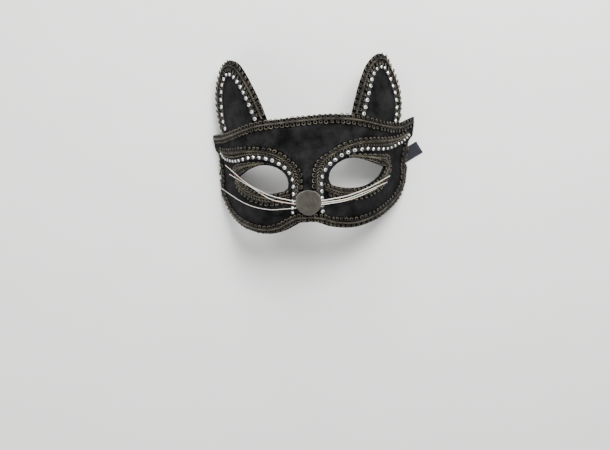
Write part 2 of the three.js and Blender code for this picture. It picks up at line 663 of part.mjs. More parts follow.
function whiskerGeometry(points, sign) {
  const path = new THREE.CatmullRomCurve3(points.map(([x, y, z]) => new THREE.Vector3(sign * x, y, z)));
  const section = new THREE.Shape(Array.from({ length: WHISKER.sides }, (_, k) => {
    const angle = 2 * Math.PI * k / WHISKER.sides;
    return new THREE.Vector2(WHISKER.radius * Math.cos(angle), WHISKER.radius * Math.sin(angle));
  }));
  const way = { steps: WHISKER.steps, extrudePath: path, bevelEnabled: false };
  const tube = new THREE.ExtrudeGeometry(section, way);
  return toGeometry(toSolid(tube));
}

// One edge of a ribbon's glued end. It comes down the inner face of the side, and slants on its way down.
function gluedEdge(sign, offset) {
  const { thickness, glued, wallGap, floorGap, floorThickness, slant, crossing } = RIBBON;
  const lift = -WALL - wallGap;
  const front = [];
  const rear = [];
  const steps = 4;
  for (let i = 0; i <= steps; i += 1) {
    const up = glued * i / steps;
    const y = crossing[1] + offset / Math.cos(slant) - (up + ARCH_RISE) * Math.tan(slant);
    const x = sign * (sideAt(sign, y, ARCH_RISE) - up * Math.cos(SIDE_ANGLE));
    front.push(facePoint(x, y, lift));
    rear.push(facePoint(x, y, lift - thickness));
  }
  const drop = (front[0].z - floorGap - floorThickness / 2) / Math.sin(SIDE_ANGLE);
  const way = [sign * Math.cos(SIDE_ANGLE), Math.cos(SIDE_ANGLE) * Math.tan(slant), -Math.sin(SIDE_ANGLE)];
  const down = new THREE.Vector3(...way).multiplyScalar(drop);
  return [front[0].clone().add(down), ...front, ...rear.reverse(), rear[rear.length - 1].clone().add(down)];
}

// A tie ribbon: the end glued inside the temple, the run that slants out under the edge, and the folded hank.
function ribbonGeometry(side, sign) {
  const { width, floorGap, floorThickness, slant, crossing } = RIBBON;
  const { hankLength, hankHeight } = RIBBON;
  const hankCorner = RIBBON.hankCorner[side];
  const across = [-0.5, -0.25, 0, 0.25, 0.5].map((t) => gluedEdge(sign, t * width));
  const inward = (crossing[0] - hankCorner - width / 2) / Math.cos(slant);
  const run = new THREE.BoxGeometry(inward + RIBBON.reach[side], width, floorThickness)
    .translate((RIBBON.reach[side] - inward) / 2, 0, 0).rotateZ(slant)
    .translate(crossing[0], crossing[1], floorGap + floorThickness / 2);
  const round = RIBBON.hankRound;
  const outline = new THREE.Shape();
  outline.moveTo(0, 0).lineTo(hankLength - round, 0);
  outline.quadraticCurveTo(hankLength, hankHeight / 2, hankLength - round, hankHeight);
  outline.lineTo(round, hankHeight).quadraticCurveTo(0, hankHeight / 2, 0, 0);
  const hank = new THREE.ExtrudeGeometry(outline, { depth: width, bevelEnabled: false, curveSegments: 6 })
    .rotateX(Math.PI / 2).rotateZ(Math.PI / 2).translate(hankCorner, RIBBON.hankStart[side], floorGap);
  const folded = toSolid(run).add(toSolid(hank));
  return toGeometry(toSolid(lofted(across)).add(sign < 0 ? folded.mirror([1, 0, 0]) : folded));
}

const FINISH = {
  velvet: { color: 0x202022, roughness: 0.95, metalness: 0 },
  braid: { color: 0x2b2a28, roughness: 0.7, metalness: 0 },
  crystal: { color: 0xe8ecee, roughness: 0.08, metalness: 0 },
  felt: { color: 0x5f5c52, roughness: 0.95, metalness: 0 },
  bristle: { color: 0xe6e4da, roughness: 0.25, metalness: 0 },
  satin: { color: 0x1c1e2a, roughness: 0.4, metalness: 0 },
};

const mask = new THREE.Group();
mask.position.set(-NOSE_TO_MIDDLE.x, -NOSE_TO_MIDDLE.y, 0);

function addPiece(name, geometry, finish) {
  const piece = new THREE.Mesh(geometry, new THREE.MeshStandardMaterial({ name: finish, ...FINISH[finish] }));
  piece.name = name;
  mask.add(piece);
}

addPiece('mask_shell', shellGeometry(), 'velvet');
addPiece('top_edge_braid', topBraidGeometry(), 'braid');
addPiece('lower_edge_braid', lowerBraidGeometry(), 'braid');
addPiece('nose_pad', nosePadGeometry(), 'felt');
for (const [side, sign] of SIDES) {
  addPiece(`brow_braid_${side}`, browBraidGeometry(side, sign), 'braid');
  addPiece(`eye_braid_${side}`, eyeBraidGeometry(side, sign), 'braid');
  addPiece(`ear_braid_${side}`, earBraidGeometry(side, sign), 'braid');
  addPiece(`brow_stones_${side}`, stoneRowGeometry(BROW_STONES[side], sign), 'crystal');
  addPiece(`ear_stones_${side}`, stoneRowGeometry(EAR_STONES[side], sign), 'crystal');
  WHISKERS[side].forEach((way, index) => {
    addPiece(`whisker_${side}_${index + 1}`, whiskerGeometry(way, sign), 'bristle');
  });
  addPiece(`tie_ribbon_${side}`, ribbonGeometry(side, sign), 'satin');
}

export default mask;
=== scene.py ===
"""Looks for a cat eye half mask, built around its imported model.

The mask is a moulded shell covered in velvet, with its ears in one piece with it. It is edged with looped
gimp braid and rows of small round stones, and has a felt nose pad, nylon whiskers and two satin tie ribbons.
It lies face up on a pale floor. Sizes are in millimetres, measured from the nose in the front view, X across
the face, Y up towards the ears and Z out of the face, and become metres in the model's own frame where a mesh
is made.
"""

import logging
import math
from dataclasses import dataclass, field
from enum import Enum
from typing import Generic, Iterable, Sequence, TypeVar

import bpy
import numpy as np
from mathutils import Matrix, Vector, noise
from mathutils.geometry import delaunay_2d_cdt

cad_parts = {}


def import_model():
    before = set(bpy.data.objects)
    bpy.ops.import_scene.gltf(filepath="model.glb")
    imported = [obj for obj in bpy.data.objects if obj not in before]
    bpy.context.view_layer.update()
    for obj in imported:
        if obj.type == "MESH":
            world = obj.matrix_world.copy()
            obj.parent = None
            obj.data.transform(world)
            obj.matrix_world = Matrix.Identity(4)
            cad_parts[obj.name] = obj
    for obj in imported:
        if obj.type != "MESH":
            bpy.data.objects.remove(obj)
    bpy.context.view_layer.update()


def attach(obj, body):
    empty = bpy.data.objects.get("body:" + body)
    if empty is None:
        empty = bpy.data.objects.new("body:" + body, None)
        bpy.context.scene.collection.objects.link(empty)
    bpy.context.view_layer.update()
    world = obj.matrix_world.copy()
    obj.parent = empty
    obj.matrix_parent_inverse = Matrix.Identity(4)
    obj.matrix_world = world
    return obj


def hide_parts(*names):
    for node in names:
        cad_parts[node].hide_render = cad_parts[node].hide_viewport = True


LOG = logging.getLogger("cat_eye_mask")
Array = np.ndarray
Places = Sequence[tuple[float, float]]
Value = TypeVar("Value")
Tree = bpy.types.NodeTree
Socket = bpy.types.NodeSocket
Material = bpy.types.Material
Piece = bpy.types.Object

MM = 0.001
NOSE_TO_MIDDLE = np.array([4.3, 40.0, 0.0])
BODY = "root"
PLACES_PER_POINT = 60
OUTER_EDGE = (-1,)
BOTH_EDGES = (-1, 1)


class Side(Enum):
    """The two sides of the mask, by the way that X runs there."""

    LEFT = -1
    RIGHT = 1

    @property
    def word(self) -> str:
        """The side's word in the names of pieces."""
        return self.name.lower()


@dataclass(frozen=True)
class BySide(Generic[Value]):
    """A value for each side of the mask, because its sides aren't alike."""

    left: Value
    right: Value

    def __getitem__(self, side: Side) -> Value:
        """The value of one side."""
        return self.left if side is Side.LEFT else self.right


def mix(a: float | Array, b: float | Array, t: float | Array) -> float | Array:
    """Goes from a to b by the share t."""
    return a + (b - a) * t


def smooth(start: float, end: float, value: float | Array) -> Array:
    """Rises softly from 0 to 1 while the value goes from start to end."""
    t = np.clip((np.asarray(value, float) - start) / (end - start), 0.0, 1.0)
    return t * t * (3.0 - 2.0 * t)


def unit(vectors: Array) -> Array:
    """The same directions with length one."""
    return vectors / np.maximum(np.linalg.norm(vectors, axis=-1, keepdims=True), 1e-12)


@dataclass(frozen=True)
class Swelling:
    """A soft swelling or hollow beside the nose ridge."""

    height: float
    x: float
    y: float
    spread_x: float
    spread_y: float


@dataclass(frozen=True)
class SideWidth:
    """How wide one side is at the temple and at the cheek, and the levels that it changes between."""

    temple: float
    cheek: float
    temple_level: float
    cheek_level: float


@dataclass(frozen=True)
class FaceForm:
    """The moulded face: the height of the velvet over the floor at each place of the front view."""

    face_height: float = 60.0
    middle_radius: float = 110.0
    middle_angle: float = math.radians(16)
    temple_radius: float = 48.0
    side_angle: float = math.radians(60)
    left: SideWidth = SideWidth(0.978, 0.938, 54.0, 14.0)
    right: SideWidth = SideWidth(1.04, 0.885, 60.0, -12.0)
    lean_start: float = 30.0
    lean_curve: float = 0.002
    curl_start: float = -5.0
    curl_curve: float = 0.01
    nose_height: float = 11.0
    tip_flat: float = 4.0
    tip_half: float = 24.0
    bridge_flat: float = 1.0
    bridge_half: float = 15.5
    tip_level: float = 0.0
    bridge_level: float = 18.0
    fade_level: float = 14.0
    end_level: float = 42.0
    slope_step: float = 0.05
    halvings: int = 40
    swellings: tuple[Swelling, ...] = (
        Swelling(2.2, 35.0, -7.0, 15.0, 10.0),
        Swelling(-1.8, 34.0, 17.0, 13.0, 8.0),
        Swelling(1.6, 33.0, 42.0, 16.0, 8.0),
    )

    def rounding_drop(self, x: Array) -> Array:
        """How far the face falls back from its middle line.

        Args:
            x: Distances from the middle line.

        Returns:
            The fall at each distance.
        """
        sine, cosine = math.sin(self.middle_angle), math.cos(self.middle_angle)
        middle_end = self.middle_radius * sine
        middle_drop = self.middle_radius * (1.0 - cosine)
        temple_end = middle_end + self.temple_radius * (math.sin(self.side_angle) - sine)
        temple_drop = middle_drop + self.temple_radius * (cosine - math.cos(self.side_angle))
        middle = self.middle_radius - np.sqrt(np.maximum(self.middle_radius**2 - x * x, 0.0))
        turned = np.clip(sine + (x - middle_end) / self.temple_radius, -1.0, 1.0)
        temple = middle_drop + self.temple_radius * (cosine - np.sqrt(1.0 - turned**2))
        straight = temple_drop + (x - temple_end) * math.tan(self.side_angle)
        return np.where(x < middle_end, middle, np.where(x > temple_end, straight, temple))

    def width_scale(self, x: Array, y: Array) -> Array:
        """How wide the face is, against its usual width.

        Args:
            x: Where each place is across the face.
            y: Its level.

        Returns:
            The width's share at each place, on the side that the place is on.
        """
        scales = [
            mix(w.temple, w.cheek, smooth(w.temple_level, w.cheek_level, y)) for w in (self.left, self.right)
        ]
        return np.where(x < 0.0, *scales)

    def nose_rise(self, x: Array, y: Array) -> Array:
        """The height of the nose ridge.

        Args:
            x: Distances from the middle line.
            y: The level of each place.

        Returns:
            The height at each place.
        """
        narrow = smooth(self.tip_level, self.bridge_level, y)
        flat = mix(self.tip_flat, self.bridge_flat, narrow)
        half = mix(self.tip_half, self.bridge_half, narrow)
        along = np.clip((x - flat) / (half - flat), 0.0, 1.0)
        height = self.nose_height * (1.0 - smooth(self.fade_level, self.end_level, y))
        return height * 0.5 * (1.0 + np.cos(math.pi * along))

    def height(self, x: Array, y: Array) -> Array:
        """The height of the velvet over the floor.

        Args:
            x: Where each place is across the face.
            y: Its level.

        Returns:
            The height at each place.
        """
        x, y = np.asarray(x, float), np.asarray(y, float)
        across = np.abs(x)
        fall = self.rounding_drop(across / self.width_scale(x, y))
        height = self.face_height - fall + self.nose_rise(across, y)
        height = height - self.lean_curve * np.maximum(y - self.lean_start, 0.0) ** 2
        height = height - self.curl_curve * np.maximum(self.curl_start - y, 0.0) ** 2
        for form in self.swellings:
            u = (across - form.x) / form.spread_x
            v = (y - form.y) / form.spread_y
            height = height + form.height * np.exp(-(u * u + v * v))
        return height

    def normal(self, places: Array) -> Array:
        """The way out of the velvet.

        Args:
            places: Places in the front view, one row each.

        Returns:
            The way out at each place, with length one.
        """
        step = self.slope_step
        x, y = places[:, 0], places[:, 1]
        slope_x = (self.height(x + step, y) - self.height(x - step, y)) / (2.0 * step)
        slope_y = (self.height(x, y + step) - self.height(x, y - step)) / (2.0 * step)
        return unit(np.stack([-slope_x, -slope_y, np.ones_like(slope_x)], axis=-1))

    def point(self, places: Array, lift: float | Array = 0.0) -> Array:
        """Points lifted off the velvet, or sunk under it.

        Args:
            places: Places in the front view, one row each.
            lift: How far each point stands off the velvet.

        Returns:
            The points, one row each.
        """
        places = np.atleast_2d(np.asarray(places, float))
        ground = np.column_stack([places, self.height(places[:, 0], places[:, 1])])
        return ground + np.asarray(lift, float).reshape(-1, 1) * self.normal(places)

    def side_at(self, side: Side, y: Array, rise: Array) -> Array:
        """How far out the side of the face comes down to a height over the floor, found by halving.

        Args:
            side: Which side of the face.
            y: The levels to look at.
            rise: The height over the floor at each level.

        Returns:
            The distance from the middle line at each level.
        """
        inside = np.full_like(y, self.middle_radius * math.sin(self.middle_angle) + 1.0)
        outside = np.full_like(y, self.middle_radius)
        for _ in range(self.halvings):
            middle = (inside + outside) / 2.0
            above = self.height(side.value * middle, y) > rise
            inside, outside = np.where(above, middle, inside), np.where(above, outside, middle)
        return inside


FACE = FaceForm()


def through(points: Array, count: int) -> Array:
    """A smooth curve through the points, with its speed set by the root of their distances.

    Args:
        points: The points that the curve goes through.
        count: How many places to give on the curve.

    Returns:
        The places, one row each.
    """
    last = len(points) - 1
    share = np.linspace(0.0, last, count)
    i = np.minimum(share.astype(int), last - 1)
    w = (share - i)[:, None]
    padded = np.vstack([2.0 * points[0] - points[1], points, 2.0 * points[-1] - points[-2]])
    p0, p1, p2, p3 = (padded[i + k] for k in range(4))

    def knot(a: Array, b: Array) -> Array:
        """The knot distance between two points."""
        return np.maximum(np.sum((a - b) ** 2, axis=1) ** 0.25, 1e-4)[:, None]

    d0, d1, d2 = knot(p0, p1), knot(p1, p2), knot(p2, p3)
    t1 = ((p1 - p0) / d0 - (p2 - p0) / (d0 + d1) + (p2 - p1) / d1) * d1
    t2 = ((p2 - p1) / d1 - (p3 - p1) / (d1 + d2) + (p3 - p2) / d2) * d1
    return p1 + t1 * w + (3.0 * (p2 - p1) - 2.0 * t1 - t2) * w**2 + (2.0 * (p1 - p2) + t1 + t2) * w**3


def distances(points: Array) -> Array:
    """How far along its line each point lies."""
    return np.concatenate([[0.0], np.cumsum(np.linalg.norm(np.diff(points, axis=0), axis=1))])


def at_distance(line: Array, travelled: Array, wanted: Array) -> Array:
    """The places of a line at the wanted distances along it."""
    return np.column_stack([np.interp(wanted, travelled, line[:, k]) for k in range(line.shape[1])])


def front_line(points: Places, step: float = 1.0) -> Array:
    """A smooth line through a few points.

    Args:
        points: The points.
        step: About how far apart the line's places are.

    Returns:
        The places, evenly spaced.
    """
    fine = through(np.asarray(points, float), PLACES_PER_POINT * len(points))
    travelled = distances(fine)
    count = max(2, round(travelled[-1] / step))
    return at_distance(fine, travelled, np.linspace(0.0, travelled[-1], count + 1))


def on_side(line: Array, side: Side) -> Array:
    """A line of the front view, turned to its side of the mask."""
    return line * np.array([side.value, 1.0])


def walked(places: Array, along: Array, distance: float | Array) -> Array:
    """Goes a distance over the velvet, square to the way along, to its left when positive.

    Args:
        places: Where each walk starts.
        along: The way that the line runs at each place.
        distance: How far each walk goes.

    Returns:
        Where each walk ends.
    """
    steps = 6
    places = places.copy()
    pace = np.broadcast_to(np.asarray(distance, float), len(places))[:, None] / steps
    for _ in range(steps):
        normal = FACE.normal(places)
        rise = -(normal[:, 0] * along[:, 0] + normal[:, 1] * along[:, 1]) / normal[:, 2]
        ahead = np.column_stack([along, rise])
        places = places + unit(np.cross(normal, ahead))[:, :2] * pace
    return places


def inset_line(line: Array, distance: float | Array) -> Array:
    """A line that keeps its distance from another, without doubling back inside a tight turn.

    Args:
        line: The other line.
        distance: How far to its left the new line runs, or to its right when negative.

    Returns:
        The new line.
    """
    before = np.vstack([line[:1], line[:-1]])
    after = np.vstack([line[1:], line[-1:]])
    along = after - before
    moved = walked(line, along, distance)
    kept = [0]
    for i in range(1, len(moved)):
        if np.dot(moved[i] - moved[kept[-1]], along[i]) > 0.0:
            kept.append(i)
    return moved[kept]


def respaced(line: Array, count: int) -> tuple[Array, float]:
    """The line with its places evenly spaced over the velvet, and its length."""
    travelled = distances(FACE.point(line))
    return at_distance(line, travelled, np.linspace(0.0, travelled[-1], count + 1)), float(travelled[-1])


@dataclass
class MeshParts:
    """Collects the points and faces of a piece, with a texture place for each corner of a face."""

    points: list[Array] = field(default_factory=list)
    faces: list[list[int]] = field(default_factory=list)
    corners: list[Array] = field(default_factory=list)
    finishes: list[int] = field(default_factory=list)
    # For the braids, the height that each point's painted light and shade are taken from.
    lifts: list[Array] = field(default_factory=list)
    count: int = 0

    def add(self, points: Array, faces: Array, corners: Array | None = None, finish: int = 0) -> None:
        """Adds points and faces that all have the same number of corners.

        Args:
            points: The new points in millimetres, one row each.
            faces: The new faces, as numbers of these points.
            corners: The texture place of each corner, or none.
            finish: Which of the piece's materials the faces have.
        """
        self.add_faces(faces + self.count, corners, finish)
        self.points.append(points)
        self.count += len(points)

    def add_faces(self, faces: Array, corners: Array | None = None, finish: int = 0) -> None:
        """Adds faces that all have the same number of corners.

        Args:
            faces: The new faces, as numbers of the piece's points.
            corners: The texture place of each corner, or none.
            finish: Which of the piece's materials the faces have.
        """
        self.faces.extend(faces.tolist())
        self.corners.append(np.zeros((faces.size, 2)) if corners is None else corners.reshape(-1, 2))
        self.finishes.extend([finish] * len(faces))

    def build(self, name: str, materials: Iterable[Material], flat: bool = False) -> Piece:
        """Makes the piece as an object in the model's frame.

        Args:
            name: The piece's name.
            materials: Its materials, in the order of the finishes.
            flat: Whether its faces are cut flat, as on a stone.

        Returns:
            The new object.
        """
        mesh = bpy.data.meshes.new(name)
        points = (np.vstack(self.points) - NOSE_TO_MIDDLE) * MM
        mesh.from_pydata(points.tolist(), [], self.faces)
        layer = mesh.uv_layers.new(name="along")
        layer.data.foreach_set("uv", np.vstack(self.corners).astype(np.float32).ravel())
        mesh.polygons.foreach_set("material_index", self.finishes)
        mesh.polygons.foreach_set("use_smooth", [not flat] * len(self.faces))
        for material in materials:
            mesh.materials.append(material)
        mesh.update()
        piece = bpy.data.objects.new(name, mesh)
        bpy.context.scene.collection.objects.link(piece)
        return piece

    def add_tube(self, path: Array, up: Array, radius: float | Array, sides: int = 6) -> None:
        """Adds a round cord along a path, closed at both ends.

        Args:
            path: The points that the cord's middle follows.
            up: A way that is never along the path, at each point.
            radius: The cord's radius, or one for each point.
            sides: How many sides its section has.
        """
        ahead = unit(np.gradient(path, axis=0))
        across = unit(np.cross(ahead, up))
        top = np.cross(across, ahead)
        angle = np.arange(sides) * (2.0 * math.pi / sides)
        ring = np.cos(angle)[None, :, None] * across[:, None] + np.sin(angle)[None, :, None] * top[:, None]
        points = path[:, None] + ring * np.broadcast_to(np.asarray(radius, float), len(path))[:, None, None]
        self.add_net(points, np.arange(sides + 1) / sides, distances(path), 1)

    def add_net(self, points: Array, u: Array, v: Array, turn: int = -1, finish: int = 0) -> None:
        """Adds a skin over rows of points, either open or with each row closed to a ring and both ends shut.

        Args:
            points: The points, by their row and by their place in it.
            u: The texture place of each place in a row. One more than there are places makes the rows rings.
            v: The texture place of each row.
            turn: -1 for corners that go along a row and on to the next, 1 for the other way round.
            finish: Which of the piece's materials the skin has.
        """
        count, sides = points.shape[:2]
        row, side = np.meshgrid(np.arange(count - 1), np.arange(len(u) - 1), indexing="ij")
        corners = [(row, side), (row, side + 1), (row + 1, side + 1), (row + 1, side)]
        if turn > 0:
            corners = [corners[k] for k in (0, 3, 2, 1)]
        faces = np.stack([r * sides + c % sides for r, c in corners], axis=-1).reshape(-1, 4)
        places = np.stack([np.stack([u[c], v[r]], axis=-1) for r, c in corners], axis=-2)
        self.add(points.reshape(-1, 3), faces, places, finish)
        ends = ((self.count - count * sides, turn), (self.count - sides, -turn)) if len(u) > sides else ()
        for first, way in ends:
            self.add_faces(np.arange(first, first + sides)[None, ::way], finish=finish)


def mark(piece: Piece, name: str, values: Array) -> None:
    """Gives each point of a piece a value that its finish reads."""
    piece.data.attributes.new(name, "FLOAT", "POINT").data.foreach_set("value", values.astype(np.float32))


def ride(piece: Piece, node: str) -> Piece:
    """Sets a piece in the frame.

    Args:
        piece: The new piece.
        node: The node that it stands for.

    Returns:
        The piece.
    """
    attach(piece, BODY)
    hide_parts(node)
    LOG.info("%s: %d faces", piece.name, len(piece.data.polygons))
    return piece


def linear(hex_code: str) -> tuple[float, float, float, float]:
    """Turns an sRGB hex value to a linear colour."""
    values = [int(hex_code[i : i + 2], 16) / 255.0 for i in (0, 2, 4)]
    return (*(v / 12.92 if v <= 0.04045 else ((v + 0.055) / 1.055) ** 2.4 for v in values), 1.0)


def add_node(tree: Tree, kind: str, inputs: dict | None = None, **settings: object) -> bpy.types.Node:
    """Adds a node with its settings, and its inputs as values or links.

    Args:
        tree: The material's or the world's node tree.
        kind: The node's type.
        inputs: For each input, by name or number, a value or the output that feeds it.
        settings: The node's own settings.

    Returns:
        The new node.
    """
    node = tree.nodes.new(kind)
    for key, value in settings.items():
        setattr(node, key, value)
    for key, value in (inputs or {}).items():
        if isinstance(value, Socket):
            tree.links.new(value, node.inputs[key])
        else:
            node.inputs[key].default_value = value
    return node


@dataclass(frozen=True)
class Finish:
    """What every finish has: the shader's own even values, and two shades that its pattern goes between."""

    name: str
    dark: str
    light: str
    roughness: float
    ior: float = 1.5
    metallic: float = 0.0
    sheen: float = 0.0
    sheen_roughness: float = 0.3
    sheen_tint: str = "ffffff"
    coat: float = 0.0
    specular: float = 0.5
    bump: float = 0.0
    bump_mm: float = 0.1
    tone_range: tuple[float, float] = (0.0, 1.0)

    def make(self) -> Material:
        """Makes the material.

        Returns:
            The material, with its even values on the shader and its pattern linked to it.
        """
        material = bpy.data.materials.new(self.name)
        material.use_nodes = True
        tree = material.node_tree
        shader = tree.nodes["Principled BSDF"]
        values = {
            "Roughness": self.roughness,
            "Metallic": self.metallic,
            "IOR": self.ior,
            "Sheen Weight": self.sheen,
            "Sheen Roughness": self.sheen_roughness,
            "Sheen Tint": linear(self.sheen_tint),
            "Coat Weight": self.coat,
            "Specular IOR Level": self.specular,
        }
        for key, value in values.items():
            shader.inputs[key].default_value = value
        tone, height = self.pattern(tree)
        low, high = self.tone_range
        share = add_node(tree, "ShaderNodeMapRange", {"Value": tone, "From Min": low, "From Max": high})
        shades = {0: share.outputs["Result"], 6: linear(self.dark), 7: linear(self.light)}
        colour = add_node(tree, "ShaderNodeMix", shades, data_type="RGBA")
        tree.links.new(self.covered(tree, colour.outputs[2]), shader.inputs["Base Color"])
        if self.bump > 0.0:
            relief = {"Height": height, "Strength": self.bump, "Distance": self.bump_mm * MM}
            normal = add_node(tree, "ShaderNodeBump", relief).outputs["Normal"]
            tree.links.new(normal, shader.inputs["Normal"])
        return material

    def pattern(self, tree: Tree) -> tuple[Socket, Socket]:
        """The surface's tone and its height, which each finish has its own way for."""
        raise NotImplementedError

    def covered(self, tree: Tree, colour: Socket) -> Socket:
        """The colour with any painted shade and lining added, which most finishes don't have."""
        return colour

    def scaled_place(self, tree: Tree) -> Socket:
        """The place on the piece in millimetres, which patterns are set out on."""
        scaling = {0: add_node(tree, "ShaderNodeTexCoord").outputs["Object"], 1: (1.0 / MM,) * 3}
        return add_node(tree, "ShaderNodeVectorMath", scaling, operation="MULTIPLY").outputs[0]


@dataclass(frozen=True)
class Velvet(Finish):
    """Cotton velvet: short cut pile, steamed over a stiff moulded core.

    The pile swallows light face on and shows a soft sheen where it leans, in brushed clouds that are partly
    painted sheen.
    Under the braids it is painted black, as painted shade.
    """

    name: str = "cotton velvet"
    dark: str = "050505"
    light: str = "1f1f20"
    roughness: float = 0.95
    sheen: float = 0.08
    sheen_roughness: float = 0.45
    sheen_tint: str = "909092"
    specular: float = 0.08
    bump: float = 0.35
    bump_mm: float = 0.15
    lining: str = "242326"
    # The painted shade on the velvet under the braids.
    glued: str = "010101"
    # The brushed clouds lighten the colour, partly as the pile's own uneven tone and partly as painted sheen.
    cloud_mm: float = 11.0
    cloud_range: tuple[float, float] = (0.36, 0.66)
    # The pile stands 0.1 mm apart, which is too fine to show, so it is drawn about six times as coarse.
    pile_mm: float = 0.6
    pile_share: float = 0.5

    def pattern(self, tree: Tree) -> tuple[Socket, Socket]:
        """Brushed clouds, partly the pile's own tone and partly painted sheen, with the grain of the pile in
        them.

        Args:
            tree: The material's node tree.

        Returns:
            The tone, and the height of the pile.
        """
        place = self.scaled_place(tree)
        soft = {"Vector": place, "Scale": 1.0 / self.cloud_mm, "Detail": 4.0, "Roughness": 0.6}
        sheen_cloud = add_node(tree, "ShaderNodeTexNoise", soft).outputs["Fac"]
        fine = {"Vector": place, "Scale": 1.0 / self.pile_mm, "Detail": 2.0}
        pile = add_node(tree, "ShaderNodeTexNoise", fine).outputs["Fac"]
        low, high = self.cloud_range
        shade = add_node(tree, "ShaderNodeMapRange", {"Value": sheen_cloud, "From Min": low, "From Max": high})
        added = {0: pile, 1: self.pile_share, 2: shade.outputs["Result"]}
        grain = add_node(tree, "ShaderNodeMath", added, operation="MULTIPLY_ADD").outputs[0]
        centred = {0: grain, 1: self.pile_share / 2.0}
        tone = add_node(tree, "ShaderNodeMath", centred, operation="SUBTRACT", use_clamp=True)
        return tone.outputs[0], pile

    def covered(self, tree: Tree, colour: Socket) -> Socket:
        """The velvet painted black under the braids as painted shade, and with the lining inside where the
        turned-in edge ends.

        Args:
            tree: The material's node tree.
            colour: The colour of the bare velvet.

        Returns:
            The colour of the shell.
        """
        # The glued value marks where the braids lie, and there the velvet is painted near black as painted
        # shade.
        braid_shade = add_node(tree, "ShaderNodeAttribute", attribute_name="glued").outputs["Fac"]
        # The lining's value is 0 over the velvet and goes over 0.5 where the cotton starts inside.
        inside = add_node(tree, "ShaderNodeAttribute", attribute_name="lining").outputs["Fac"]
        edge = add_node(tree, "ShaderNodeMath", {0: inside, 1: 0.5}, operation="GREATER_THAN").outputs[0]
        for share, over in ((braid_shade, self.glued), (edge, self.lining)):
            shades = {0: share, 6: colour, 7: linear(over)}
            colour = add_node(tree, "ShaderNodeMix", shades, data_type="RGBA").outputs[2]
        return colour


@dataclass(frozen=True)
class RayonCord(Finish):
    """Rayon gimp cord: a core wrapped with fine lustrous thread.

    The wrapping gives narrow slanting lines. Each cord is painted light along its top as a painted highlight,
    and painted black in its hollows as painted shade.
    """

    name: str = "rayon gimp cord"
    dark: str = "121110"
    light: str = "797261"
    roughness: float = 0.48
    sheen: float = 0.05
    sheen_tint: str = "b0aa98"
    specular: float = 0.3
    bump: float = 0.4
    bump_mm: float = 0.05
    # The painted shade in the hollows under the cords.
    hollow: str = "020202"
    # Painted shade keeps the cords dark up to the first height over the velvet, in mm, and a painted
    # highlight lights them from the second.
    crest: tuple[float, float] = (1.45, 1.9)
    # The wrapping thread is 0.12 mm thick, which is too fine to show, so it is drawn at 0.4 mm.
    thread_mm: float = 0.4
    thread_share: float = 0.12
    patch_mm: float = 7.0
    tone_range: tuple[float, float] = (0.3, 0.7)

    def pattern(self, tree: Tree) -> tuple[Socket, Socket]:
        """Slanting thread over worn patches, on the texture places that run round and along each cord.

        Args:
            tree: The material's node tree.

        Returns:
            The tone, and the height of the thread.
        """
        along = add_node(tree, "ShaderNodeUVMap", uv_map="along").outputs[0]
        split = add_node(tree, "ShaderNodeSeparateXYZ", {0: along})
        thread = split.outputs[1]
        steps = (("MULTIPLY", 1.0 / self.thread_mm), ("ADD", split.outputs[0]), ("MULTIPLY", 2.0 * math.pi))
        for operation, value in steps:
            thread = add_node(tree, "ShaderNodeMath", {0: thread, 1: value}, operation=operation).outputs[0]
        thread = add_node(tree, "ShaderNodeMath", {0: thread}, operation="SINE").outputs[0]
        place = self.scaled_place(tree)
        soft = {"Vector": place, "Scale": 1.0 / self.patch_mm, "Detail": 3.0, "Roughness": 0.6}
        patch = add_node(tree, "ShaderNodeTexNoise", soft).outputs["Fac"]
        added = {0: thread, 1: self.thread_share, 2: patch}
        return add_node(tree, "ShaderNodeMath", added, operation="MULTIPLY_ADD").outputs[0], thread

    def covered(self, tree: Tree, colour: Socket) -> Socket:
        """The cord with painted shade in its hollows and a painted highlight along its top.

        Args:
            tree: The material's node tree.
            colour: The colour that the painted highlight gives at the top of the cord.

        Returns:
            The colour at each height.
        """
        # The lift value holds the height that the painted light and shade are taken from.
        lift = add_node(tree, "ShaderNodeAttribute", attribute_name="lift").outputs["Fac"]
        low, high = self.crest
        limits = {"Value": lift, "From Min": low, "From Max": high}
        crest = add_node(tree, "ShaderNodeMapRange", limits, interpolation_type="SMOOTHSTEP")
        shades = {0: crest.outputs["Result"], 6: linear(self.hollow), 7: colour}
        return add_node(tree, "ShaderNodeMix", shades, data_type="RGBA").outputs[2]


@dataclass(frozen=True)
class FoiledGlass(Finish):
    """Cut lead glass with a silvered back, polished.

    The foil throws the light back through the facets, so the stone flashes like a small mirror under clear
    glass.
    """

    name: str = "foiled glass crown"
    dark: str = "e2e0da"
    light: str = "ffffff"
    roughness: float = 0.16
    metallic: float = 0.45
    coat: float = 1.0
    flaw_mm: float = 1.4
    tone_range: tuple[float, float] = (0.4, 0.6)

    def pattern(self, tree: Tree) -> tuple[Socket, Socket]:
        """Glass that is a little uneven from facet to facet.

        Args:
            tree: The material's node tree.

        Returns:
            The flaws, as the tone and as the height.
        """
        fine = {"Vector": self.scaled_place(tree), "Scale": 1.0 / self.flaw_mm, "Detail": 1.0}
        flaw = add_node(tree, "ShaderNodeTexNoise", fine).outputs["Fac"]
        return flaw, flaw


